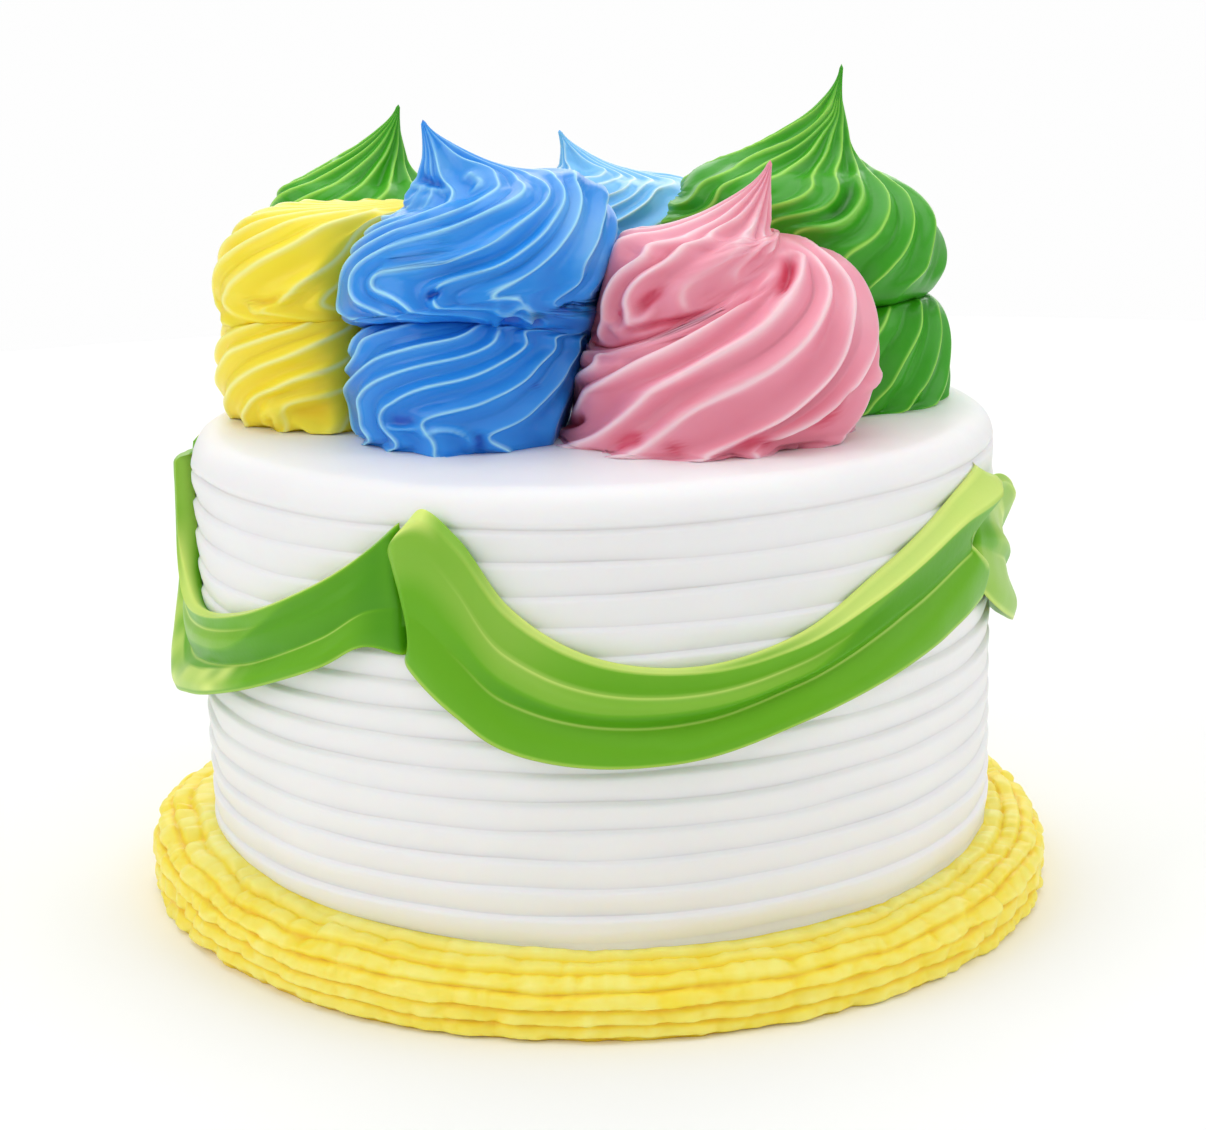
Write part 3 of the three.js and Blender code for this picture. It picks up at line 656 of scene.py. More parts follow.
# Swirls: level rings from foot to tip, as in the solids. Stages: 0 foot, 1 low belly, 2 gap,
# 3 high belly, 4 crown, 5 tip. The crests of each kind are stations of angle about the swirl's
# middle and of stage, in the low tier and the high one. The twist says how far the ridges have
# turned at each stage.
ROLLED = dict(
    twist=[
        (0, 6), (0.4, 4), (0.8, 0), (1, 10), (1.25, 38), (1.5, 68), (1.7, 82), (1.85, 90), (2, 96),
        (2.3, 102), (2.6, 96), (2.9, 74), (3.1, 52), (3.25, 60), (3.4, 82), (3.6, 112), (3.8, 137),
        (4, 155), (4.5, 182), (5, 200),
    ],
    low=[
        [(202, 1.31), (206, 1.5), (222, 1.68), (236, 1.77)],
        [(202, 1.12), (208, 1.22), (221, 1.34), (238, 1.45), (259, 1.56), (274, 1.7), (282, 1.9)],
        [(216, 0.37), (211, 0.77), (211, 1), (222, 1.13), (239, 1.26), (259, 1.36), (278, 1.48),
         (285, 1.61), (289, 1.85)],
        [(228, 0.12), (226, 0.78), (232, 0.94), (239, 1.04), (258, 1.16), (277, 1.26), (288, 1.38),
         (299, 1.55), (303, 1.85)],
        [(255, 0.29), (250, 0.75), (254, 0.85), (267, 0.93), (285, 1.07), (300, 1.23), (310, 1.42),
         (317, 1.75)],
        [(279, 0.55), (294, 0.76), (304, 0.95), (316, 1.15), (327, 1.39), (331, 1.71)],
        [(348, 0.95), (358, 1.3), (358, 1.6)],
    ],
    high=[
        [(261, 4.24), (257, 4.45), (268, 4.71)],
        [(230, 3.64), (246, 3.68), (260, 3.72), (275, 3.84), (301, 4.05), (324, 4.3)],
        [(224, 3.06), (212, 3.12), (206, 3.2), (206, 3.32), (223, 3.45), (242, 3.51), (262, 3.56),
         (282, 3.68), (300, 3.78), (310, 3.9), (335, 4.17)],
        [(244, 3.09), (226, 3.13), (222, 3.21), (228, 3.26), (243, 3.29), (261, 3.3), (281, 3.39),
         (301, 3.54), (316, 3.68), (332, 3.99)],
        [(250, 3.09), (255, 3.14), (267, 3.17), (282, 3.22), (295, 3.3), (306, 3.42), (320, 3.57)],
        [(278, 2.96), (281, 3.05), (289, 3.09), (302, 3.21), (315, 3.34), (328, 3.49), (338, 3.67)],
        [(303, 2.68), (306, 2.82), (315, 3.01), (324, 3.16), (340, 3.34), (357, 3.47)],
        [(326, 2.69), (330, 2.9), (337, 3.06), (346, 3.16)],
    ],
)
SOFT = dict(
    twist=[
        (0, -10), (0.5, 0), (0.8, 8), (1, 22), (1.25, 42), (1.5, 60), (2, 86), (2.3, 86), (2.6, 70),
        (2.8, 62), (3.05, 68), (3.2, 82), (3.4, 100), (3.6, 118), (3.85, 138), (4, 147), (5, 185),
    ],
    low=[
        [(206, 1.2), (217, 1.37), (235, 1.53), (256, 1.77)],
        [(210, 0.8), (216, 0.96), (229, 1.13), (246, 1.29), (265, 1.49), (276, 1.61)],
        [(220, 0.48), (228, 0.74), (241, 0.95), (256, 1.11), (276, 1.23)],
        [(246, 0.61), (250, 0.78), (260, 0.86), (275, 0.94)],
    ],
    high=[
        [(196, 3.19), (208, 3.31), (227, 3.49), (244, 3.75)],
        [(210, 2.75), (214, 3.03), (224, 3.15), (239, 3.3), (254, 3.46), (272, 3.72), (282, 4.26)],
        [(237, 2.62), (247, 2.84), (256, 3.05), (265, 3.15), (276, 3.29)],
    ],
)
BROAD = dict(
    twist=[
        (0, -15), (0.5, 0), (0.85, 13), (1.03, 24), (1.3, 46), (1.5, 66), (1.7, 88), (1.85, 104), (2, 115),
        (2.4, 117), (2.7, 118), (3, 126), (3.3, 134), (3.55, 140), (4, 146), (4.5, 150), (5, 156),
    ],
    low=[
        [(210, 1.69), (238, 1.85), (259, 1.87), (290, 1.92)],
        [(206, 1.01), (222, 1.24), (236, 1.43), (250, 1.57), (265, 1.66), (278, 1.73), (293, 1.8)],
        [(220, 0.5), (228, 0.72), (236, 0.92), (244, 1.08), (260, 1.26), (276, 1.38), (290, 1.49),
         (304, 1.6), (316, 1.69), (326, 1.78), (335, 1.88)],
        [(242, 0.34), (246, 0.55), (252, 0.72), (259, 0.84), (273, 0.95), (288, 1.1), (297, 1.2),
         (310, 1.35), (320, 1.46), (330, 1.59), (337, 1.72), (344, 1.86)],
        [(268, 0.15), (275, 0.43), (286, 0.59), (296, 0.73), (305, 0.85), (314, 1), (322, 1.19),
         (330, 1.33), (338, 1.48), (342, 1.63)],
        [(284, 0.25), (291, 0.43), (300, 0.52), (312, 0.63), (322, 0.75), (334, 0.88), (344, 1),
         (348, 1.13)],
    ],
    high=[
        [(217, 2.79), (218, 3.04), (222, 3.19), (228, 3.34), (240, 3.54), (250, 4.02), (248, 4.34)],
        [(235, 2.71), (234, 2.92), (237, 3.1), (246, 3.28), (260, 3.52), (266, 3.82), (264, 4.23),
         (270, 4.42)],
        [(276, 2.95), (293, 3.06), (302, 3.41), (304, 3.8), (304, 4.27), (302, 4.56)],
        [(321, 3.13), (324, 3.6), (326, 4.22), (326, 4.6)],
        [(344, 4.09), (344, 4.59)],
    ],
)
STEEP = dict(
    twist=[
        (0, 0), (1, 24), (2, 55), (2.3, 56), (2.6, 60), (3, 78), (3.3, 96), (3.6, 114), (3.88, 130),
        (4.1, 141), (4.3, 151), (4.5, 160), (4.75, 173), (5, 182),
    ],
    low=[
        [(284, 0.3), (295, 0.78), (306, 1.18), (316, 1.44), (324, 1.74)],
        [(300, 0.07), (310, 0.55), (320, 0.9), (329, 1.21), (336, 1.49)],
    ],
    high=[
        [(204, 3.5), (211, 3.7), (218, 3.89), (219, 4.07), (227, 4.25), (246, 4.38), (256, 4.55),
         (270, 4.75)],
        [(227, 3.79), (233, 3.93), (241, 4.15), (257, 4.32), (267, 4.48), (287, 4.66)],
        [(260, 4.03), (270, 4.14), (279, 4.29), (284, 4.49), (296, 4.75)],
        [(260, 3.56), (266, 3.6), (279, 3.8), (294, 4.21), (301, 4.53), (312, 4.7)],
        [(284, 3.61), (297, 3.96), (316, 4.25), (322, 4.53)],
        [(264, 3.29), (279, 3.34), (289, 3.46), (301, 3.64), (312, 3.84)],
        [(280, 3.04), (288, 3.12), (299, 3.29), (312, 3.51), (321, 3.67), (332, 3.9)],
        [(291, 2.65), (300, 2.88), (308, 3.06), (318, 3.29), (326, 3.48), (337, 3.68), (344, 3.87)],
        [(308, 2.4), (315, 2.68), (323, 2.99), (332, 3.21), (347, 3.46), (358, 3.68)],
    ],
)
# Small folds, pockets and swells: height, width, how much lighter, and stations as above. Below zero that
# is painted shade in the pockets; above zero it is painted light.
FOLDS_YELLOW = [
    (0.7, 0.6, 0.3, [(228, 2.87), (231, 2.66), (236, 2.58)]),
    (-1, 0.9, -0.35, [(232, 2.85), (239, 2.81), (247, 2.92)]),
    (1.6, 1.8, 0.1, [(196, 2.2), (208, 2.3), (220, 2.1)]),
    (1.4, 1.4, 0.15, [(232, 0.21), (235, 0.5), (239, 0.65), (243, 0.57), (239, 0.38)]),
    (1.4, 1.2, 0.25, [(252, 0.45), (257, 0.3), (264, 0.22), (270, 0.37), (274, 0.58)]),
    (-1.1, 1.4, -0.3, [(249, 0.6), (258, 0.65), (268, 0.7)]),
]
FOLDS_BLUE_FRONT = [
    (-1.6, 0.8, -0.45, [(250, 3.08), (252, 3.09), (256, 3.11)]),
    (-1.6, 0.9, -0.4, [(307, 2.5), (310, 2.59), (316, 2.62)]),
    (-1.8, 1, -0.45, [(288, 2.25), (290, 2.4), (291, 2.46)]),
    (-1.5, 0.9, -0.4, [(302, 2.19), (300, 2.51)]),
    (0.7, 0.6, 0.35, [(279, 2.95), (280, 2.69), (284, 2.57), (288, 2.71), (292, 2.69), (296, 2.52),
     (302, 2.19)]),
    (0.6, 0.5, 0.3, [(282, 2.4), (288, 1.79), (285, 1.63)]),
    (0.6, 0.5, 0.3, [(288, 2.54), (293, 2.45), (300, 2.13), (301, 1.58)]),
    (2.1, 2.6, 0.12, [(182, 4.5), (184, 4.38), (188, 4.2), (196, 4.05)]),
    (0.8, 0.6, 0.4, [(184, 4.52), (190, 4.46), (218, 4.41), (243, 4.32), (256, 4.23)]),
    (-1.3, 1.1, -0.35, [(204, 4.53), (229, 4.44), (253, 4.34)]),
    (0.7, 0.6, 0.45, [(286, 4.34), (296, 4.29), (294, 4.23), (286, 4.15), (278, 4.14)]),
    (0.5, 0.5, 0.3, [(228, 0.66), (237, 0.65), (248, 0.7)]),
    (-0.9, 1.2, -0.3, [(230, 0.75), (238, 0.75), (247, 0.8)]),
    (0.9, 0.6, 0.35, [(251, 0.61), (258, 0.68), (265, 0.66), (270, 0.55), (272, 0.37), (272, 0.09)]),
    (-1.2, 1, -0.3, [(274, 0.58), (276, 0.43), (275, 0.14)]),
    (-0.6, 0.45, -0.5, [(303, 1.15), (304, 1.11)]),
    (1.6, 4, 0, [(238, 0), (252, 0.02), (268, 0)]),
    (1.0, 1.8, 0.12, [(196, 4.26), (214, 4.24), (236, 4.16)]),
    (0.2, 2.2, 0.06, [(200, 4.0), (214, 4.02), (228, 4.0), (240, 3.96)]),
    (0.4, 1.0, 0.04, [(224, 3.4), (232, 3.4), (243, 3.4), (258, 3.39)]),
    (0, 7, 0.18, [(322, 2.9), (326, 3.3), (320, 3.7)]),
    (0, 5, 0.15, [(250, 4.7), (300, 4.5)]),
    (1.8, 5, 0, [(344, 3.55), (354, 3.6), (364, 3.65)]),
    (2.2, 4, -0.1, [(352, 1.85), (360, 2.05)]),
]
FOLDS_PINK = [
    (-1.1, 0.7, -0.3, [(226, 2.49), (240, 2.44), (254, 2.36), (268, 2.07), (274, 1.97)]),
    (-0.9, 0.7, -0.25, [(282, 1.87), (292, 1.82), (302, 1.82), (310, 1.84)]),
    (-1.9, 1.1, -0.4, [(240, 2.76), (246, 2.87), (254, 2.97)]),
    (-0.7, 0.7, -0.3, [(226, 2.74), (227, 2.85)]),
    (0.7, 0.9, 0.3, [(234, 2.92), (234, 2.75), (237, 2.63), (244, 2.59), (250, 2.68)]),
    (0.7, 1, 0.25, [(217, 2.82), (220, 2.65), (226, 2.51), (232, 2.55)]),
    (-2.6, 1.2, -0.6, [(335, 1.93), (322, 1.84), (312, 1.76), (306, 1.69)]),
    (0.8, 0.8, 0.4, [(335, 1.98), (338, 1.91), (336, 1.85), (326, 1.77), (318, 1.7), (309, 1.65)]),
    (-1.2, 1.3, -0.45, [(228, 0.38), (234, 0.51), (239, 0.47)]),
    (-1, 1.2, -0.35, [(250, 0.41), (256, 0.34)]),
    (-1, 1.2, -0.4, [(278, 0.33), (285, 0.38), (292, 0.33)]),
    (-1.8, 1.4, -0.45, [(310, 0.47), (318, 0.58), (320, 0.7)]),
    (-2.6, 1, -0.6, [(180, 0.42), (194, 0.58), (202, 0.67)]),
    (-4.2, 4.5, 0, [(8, 0.05), (8, 0.3), (8, 0.5)]),
    (1.6, 1.1, 0.2, [(334, 0.7), (346, 0.73), (358, 0.76)]),
    (0, 3.0, 0.04, [(336, 2.6), (342, 3.1), (350, 3.5), (360, 3.9), (362, 4.05)]),
    (2.0, 3.5, -0.1, [(184, 1.85), (188, 2.05)]),
    (-1.8, 3.5, -0.15, [(190, 2.3), (192, 2.6), (196, 2.9)]),
    (0, 5, 0.12, [(270, 4.5), (300, 4.1), (290, 3.4)]),
    (0, 6, 0.22, [(330, 1.1), (340, 1.5), (345, 1.85)]),
    (0, 2.6, 0.08, [(262, 2.72), (275, 2.8), (292, 2.9), (308, 3.05), (318, 3.3)]),
]
FOLDS_GREEN_RIGHT = [
    (0.8, 0.8, 0.2, [(304, 3.87), (312, 3.9), (309, 3.79), (301, 3.63), (292, 3.48), (284, 3.36),
     (276, 3.3), (266, 3.29)]),
    (-1.8, 1.5, -0.35, [(307, 3.86), (302, 3.77), (294, 3.66), (285, 3.53), (276, 3.44)]),
    (1.9, 7, 0, [(178, 3.95), (190, 4.0), (196, 4.2), (198, 4.4)]),
    (0, 2.6, 0, [(194, 3.1), (194, 3.6), (196, 4.0)]),
    (1.5, 3.2, 0, [(176, 3.16), (184, 3.25), (191, 3.32)]),
    (0, 5, 0.12, [(240, 4.7), (300, 4.6)]),
]
# What the swirls share, and then what those of one colour share. The gap between the tiers is shaded
# by gap_shade and its ridges are calmed by gap_calm. Where a gap is filled, fill says at what angle,
# how wide and how far.
PIPED = dict(
    offset=0, folds=[], fill=(0, 30, 0), draw=1.35, rise=1.5, crown_turn=90, gap_shade=0.25, gap_calm=0.8
)
YELLOW_PIPED = dict(
    PIPED, material=YELLOW_SWIRL, slot="icing_yellow",
    lip=0.35, lip_width=0.6, hollow=1.2, step=0.35, fade_below=2.75,
)
BLUE_PIPED = dict(
    PIPED, material=BLUE_ICING, slot="icing_blue",
    lip=0.45, lip_width=0.32, hollow=1.2, step=0.5, fade_below=3.0,
)
PINK_PIPED = dict(
    PIPED, material=PINK_ICING, slot="icing_pink",
    lip=0.25, lip_width=0.8, hollow=2.2, step=0.6, fade_below=2.6,
)
GREEN_PIPED = dict(
    PIPED, material=GREEN_ICING, slot="icing_green",
    lip=0.35, lip_width=0.4, hollow=1.3, step=0.45, fade_below=2.8,
)
# Stages of the two bellies.
LOW, HIGH = 1, 3
# A swirl's rings, one for each stage: radius, height, shift of the middle in x and y, and how much
# higher the ring lies towards x and towards y.
SWIRLS = [
    dict(
        YELLOW_PIPED, name="swirl_yellow", at=(-48.8, 3.5), ridges=14, pattern=SOFT, folds=FOLDS_YELLOW,
        fill=(240, 75, 0.6),
        rings=[
            (22.5, 0, 0, 0, 0, 0), (25.4, 9, -0.5, 0, 0, 0), (20.5, 19, 0, 0, 0, -2.5),
            (25.4, 28, 0.2, 0, 2, 0), (13, 41.2, 2, 1, -0.4, 0), (0, 41.8, 16, 2, 0, 0),
        ],
    ),
    dict(
        BLUE_PIPED, name="swirl_blue_front", at=(-23, -23), ridges=13, pattern=ROLLED,
        folds=FOLDS_BLUE_FRONT, fill=(335, 42, 0.9),
        rings=[
            (21.5, 0, 0.5, 0, 0, 0), (23.6, 9.5, 0.5, 0, 0, 0), (18.5, 19.4, 0, 0, -1.2, -4.5),
            (26.6, 28.5, 3, 0, 4.5, 0), (12.5, 45.7, 3, 0, 3.4, 0), (0, 59.2, -6.7, 0, 0, 0),
        ],
    ),
    dict(
        PINK_PIPED, name="swirl_pink", at=(23.5, -28.5), ridges=12, pattern=BROAD, folds=FOLDS_PINK,
        rise=1.7, crown_turn=74, gap_shade=0.08, gap_calm=0.95,
        rings=[
            (28.2, 0, -4.4, 0, 0, 0), (28.6, 14, 2.1, 0, 4, 0), (17.5, 27, -4.8, 0, 9, 2.6),
            (18.4, 31, -5.8, 1, 6.2, 0), (13.4, 37.6, -2.6, 1, -0.4, 0), (0, 50.4, 11, 1.5, 0, 0),
        ],
    ),
    dict(
        GREEN_PIPED, name="swirl_green_right", at=(47, 6), ridges=15, pattern=STEEP,
        folds=FOLDS_GREEN_RIGHT, draw=1.7, rise=1.2, crown_turn=68,
        rings=[
            (24.5, 0, 0, 0, 0, 0), (25.4, 9, 0.5, 0, 0, 0), (21.5, 19, -1, 0, 1.6, -1),
            (27.5, 31, -2.7, 1, -1, 0), (15.8, 46, -8.4, 1, 0, 0), (0, 66.2, 4.4, 1, 0, 0),
        ],
    ),
    dict(
        BLUE_PIPED, material=BLUE_BACK, name="swirl_blue_back", at=(4, 47), ridges=14,
        pattern=ROLLED, offset=-40,
        rings=[
            (22.5, 0, 0, 0, 0, 0), (24.5, 9, 0, 0, 0, 0), (19.5, 18.5, 0, 0, 0, 1),
            (25, 28, 1, 0, -2, 0), (12, 42.5, 3, 0, -1, 0), (0, 52.3, -9.1, 1, 0, 0),
        ],
    ),
    dict(
        GREEN_PIPED, name="swirl_green_left", at=(-43, 41), ridges=14, pattern=SOFT, offset=-120,
        draw=1.45, rise=1.15, crown_turn=55,
        rings=[
            (22.5, 0, 0, 0, 0, 0), (24.5, 9, 0, 0, 0, 0), (20, 18.5, 0, 0, 0, 0),
            (25, 30, 0, 0, -1, 0), (13, 43.5, -7, 0, -0.5, 0), (0, 58.9, 3.9, 1, 0, 0),
        ],
    ),
]
# Faces where neighbours press together: first, second, share of the way, lean per millimetre.
PRESSED = [
    ("swirl_yellow", "swirl_blue_front", 0.47, -0.05),
    ("swirl_blue_front", "swirl_pink", 0.37, 0.33),
    ("swirl_pink", "swirl_green_right", 0.53, -0.1),
    ("swirl_green_right", "swirl_blue_back", 0.54, 0),
    ("swirl_blue_back", "swirl_green_left", 0.5, 0),
    ("swirl_green_left", "swirl_yellow", 0.5, 0),
]
PRESS_GAP = -0.5
PRESS_SOFTNESS = 0.8
# Directions with a smaller cosine to a pressed face don't meet it.
FACING = 0.05
OUT_OF_REACH = 1e6
# Folds wider than this swell the surface and leave its ridges as they are.
WIDE_FOLD = 3.1
SHIFT_EASING = 0.3
DROP_RADIUS = 0.45
RIDGE_COLUMNS = 16
# Soft bumps that bend the ridges reach this far in degrees and in stages.
BEND_DEGREES = 24.0
BEND_STAGES = 0.2
BEND_EASE = 0.08
# The step beside a lip fades over this length, and ridges closer together than the spacing flatten.
STEP_LENGTH = 1.6
FULL_SPACING = 4.5
# How much of a ridge is lost under the high tier and beside a fold.
UNDERSIDE_CALM = 0.75
FOLD_CALM = 0.85
GAP_STAGE = 2.05
GAP_WIDTH = 0.3
WOBBLE = 0.3
WOBBLE_LENGTH = 9.0
FOOT_SINK = 0.3
# Tint of the plain surface, and what is added to it: painted shade in hollows, painted light on level faces
# that look up, and painted highlights on lips.
PLAIN_TINT = 0.34
HOLLOW_SHADE = 0.1
LEVEL_LIGHT = 0.08
LIP_HIGHLIGHT = 0.62
# How finely the stages are cut: from, to, rows. The last row stops just short of the tip.
STAGE_ROWS = [
    (0, 0.6, 14), (0.6, 1.15, 28), (1.15, 2, 26), (2, 2.7, 18),
    (2.7, 3.4, 48), (3.4, 4, 30), (4, 4.6, 22), (4.6, 4.99, 16),
]


def swell(t):
    return np.sin(math.pi / 2 * t), 1 - np.cos(math.pi / 2 * t)


def tuck_in(t, degrees=90):
    last = math.radians(degrees)
    return (1 - np.cos(last * t)) / (1 - math.cos(last)), np.sin(last * t) / math.sin(last)


def drawn_out(t, draw, rise):
    return 1 - (1 - t) ** draw, t**rise


def plain_levels(swirl, stage):
    """Radius, height, shift of the middle and tilt of the ring at every stage."""
    rings = np.array(swirl["rings"], float)
    easings = (
        swell,
        tuck_in,
        swell,
        lambda t: tuck_in(t, swirl["crown_turn"]),
        lambda t: drawn_out(t, swirl["draw"], swirl["rise"]),
    )
    result = np.zeros((len(stage), 6))
    for index, easing in enumerate(easings):
        here = (stage >= index) & ((stage < index + 1) | (index == 4))
        radial, vertical = easing(np.clip(stage[here] - index, 0, 1))
        shares = np.stack([radial, vertical, radial, radial, vertical, vertical], -1)
        result[here] = mix(rings[index], rings[index + 1], shares)
    # The very end of the spike is a small round drop, not a needle.
    left = np.clip(5 - stage, 0, 1)
    drop = DROP_RADIUS * (1 - left) ** 8 * np.sqrt(left * 8 / (0.05 + left * 8))
    result[:, 0] += np.where(stage >= 4, drop, 0)
    return result


def swirl_levels(swirl, stage):
    """The plain levels, with the shift of the middle eased over from stretch to stretch."""
    room = SHIFT_EASING * np.clip(np.minimum(stage, 5 - stage) / SHIFT_EASING, 0, 1)
    nearby = np.array([plain_levels(swirl, stage + room * k) for k in np.linspace(-1, 1, 9)])
    result = plain_levels(swirl, stage)
    result[:, 2:4] = nearby[:, :, 2:4].mean(0)
    return result


def ring_points(levels, angle):
    """Points on the plain rings, before any fold or ridge."""
    radius, height, shift_x, shift_y, tilt_x, tilt_y = levels
    level = height + tilt_x * np.cos(angle) + tilt_y * np.sin(angle)
    return np.stack([shift_x + radius * np.cos(angle), shift_y + radius * np.sin(angle), level], -1)


def pressed_faces(swirl):
    by_name = {other["name"]: other for other in SWIRLS}
    faces = []
    for first, second, share, lean in PRESSED:
        if swirl["name"] not in (first, second):
            continue
        is_first = swirl["name"] == first
        other = by_name[second if is_first else first]
        apart = np.array(other["at"], float) - np.array(swirl["at"], float)
        distance = np.linalg.norm(apart)
        reach = (share if is_first else 1 - share) * distance - PRESS_GAP / 2
        faces.append((apart / distance, reach, lean if is_first else -lean))
    return faces


def press(points, middles, faces):
    away = points[..., :2] - middles
    radius = np.linalg.norm(away, axis=-1)
    least = radius.copy()
    for towards, reach, lean in faces:
        cosine = (away @ towards) / np.maximum(radius, 1e-6)
        room = np.maximum(0.5, reach + lean * points[..., 2] - middles @ towards)
        limit = np.where(cosine > FACING, room / np.maximum(cosine, FACING), OUT_OF_REACH)
        least = -PRESS_SOFTNESS * np.logaddexp(-least / PRESS_SOFTNESS, -limit / PRESS_SOFTNESS)
    points[..., :2] = middles + away * (least / np.maximum(radius, 1e-6))[..., None]
    return points


def gap_fill(swirl, degrees, stage, radius):
    """How closely, and how far outwards, the gap is filled where the icing climbed a tier."""
    middle, width, share = swirl["fill"]
    closeness = share * bell((degrees - middle + 180) % 360 - 180, width)
    full = mix(swirl["rings"][LOW][0], swirl["rings"][HIGH][0], smoothstep(1, 3, stage))
    return closeness, closeness * np.maximum(0, full - radius) * ((stage > 1) & (stage < 3))


def crest_angles(swirl, stage):
    """Angles, row by row, at which the columns of the mesh run, so that crests stay on columns.

    The count of ridges passed is a smooth field over angle and stage: an even helix, bent
    towards the stations of the crests by a sum of soft bumps.
    """
    ridges, twist = swirl["ridges"], swirl["pattern"]["twist"]
    stations, wanted, starts = [], [], []
    for tier in ("low", "high"):
        crests = swirl["pattern"][tier]
        rows = [(a + swirl["offset"], s, k) for k, crest in enumerate(crests) for a, s in crest]
        a, s, k = np.array(rows).T
        helix = ridges / 360 * (a - smooth_curve(twist, s))
        starts.append(np.mean(helix - k))
        stations.append(np.stack([a, s], -1))
        wanted.append(k + starts[-1] - helix)
    stations, wanted = np.concatenate(stations), np.concatenate(wanted)

    def closeness(a, s):
        away = np.abs(a[:, None] - stations[:, 0])
        away = np.minimum(away, 360 - np.minimum(away, 360)) / BEND_DEGREES
        return np.exp(-(away**2) - ((s[:, None] - stations[:, 1]) / BEND_STAGES) ** 2)

    kernel = closeness(stations[:, 0], stations[:, 1])
    weights = np.linalg.solve(kernel + BEND_EASE * np.eye(len(kernel)), wanted)
    # In the gap, the count of the low tier goes over into that of the high one.
    between = (starts[1] - starts[0] + 0.5) % 1 - 0.5
    start = starts[0] + between * smoothstep(1.9, 2.5, stage)
    even = np.arange(ridges * RIDGE_COLUMNS) * (1 / RIDGE_COLUMNS)
    # Columns crowd towards the crests, where the surface bends most.
    from_crest = even - np.round(even)
    from_crest = from_crest * (0.45 + 1.1 * np.abs(from_crest))
    count = np.round(even) + from_crest
    turn = smooth_curve(twist, stage)
    base = np.arange(0.0, 360.0, 1.5)
    angle = np.arange(-180.0, 541.0, 1.5)
    result = np.zeros((len(stage), len(count)))
    for i, s in enumerate(stage):
        bent = closeness(base, np.full(len(base), s)) @ weights
        bent = np.interp(angle, base, bent, period=360)
        field = ridges / 360 * (angle - turn[i]) - start[i] + bent
        field = np.maximum.accumulate(field + 1e-6 * angle)
        first = math.ceil(np.interp(0.0, angle, field) - 1e-9)
        shift = first % ridges * RIDGE_COLUMNS
        result[i] = np.roll(np.interp(count + first, field, angle), shift)
        result[i, :shift] -= 360
    return np.radians(result), from_crest


def fold_fields(swirl, flat):
    """Height, painted light and shade of the small folds and pockets of a swirl, and how far they hide its
    ridges.
    """
    height, tint, calm = (np.zeros(flat.shape[:2]) for _ in range(3))
    for depth, width, shade, stations in swirl["folds"]:
        path = spline_through(stations, 8 * len(stations))
        line = ring_points(swirl_levels(swirl, path[:, 1]).T, np.radians(path[:, 0]))
        least = np.full(flat.shape[:2], OUT_OF_REACH)
        taper = np.zeros(flat.shape[:2])
        for k, place in enumerate(line):
            away = np.linalg.norm(flat - place, axis=-1)
            nearer = away < least
            least = np.where(nearer, away, least)
            # A fold runs out towards both its ends.
            share = k / (len(line) - 1)
            taper = np.where(nearer, min(1, 0.35 + 2.6 * min(share, 1 - share)), taper)
        field = bell(least, width) * taper
        height += depth * field
        tint += shade * field
        if width < WIDE_FOLD:
            calm = np.maximum(calm, bell(least, 1.7 * width) * taper)
    return height, tint, calm


def unit(vectors):
    return vectors / np.maximum(np.linalg.norm(vectors, axis=-1, keepdims=True), 1e-9)


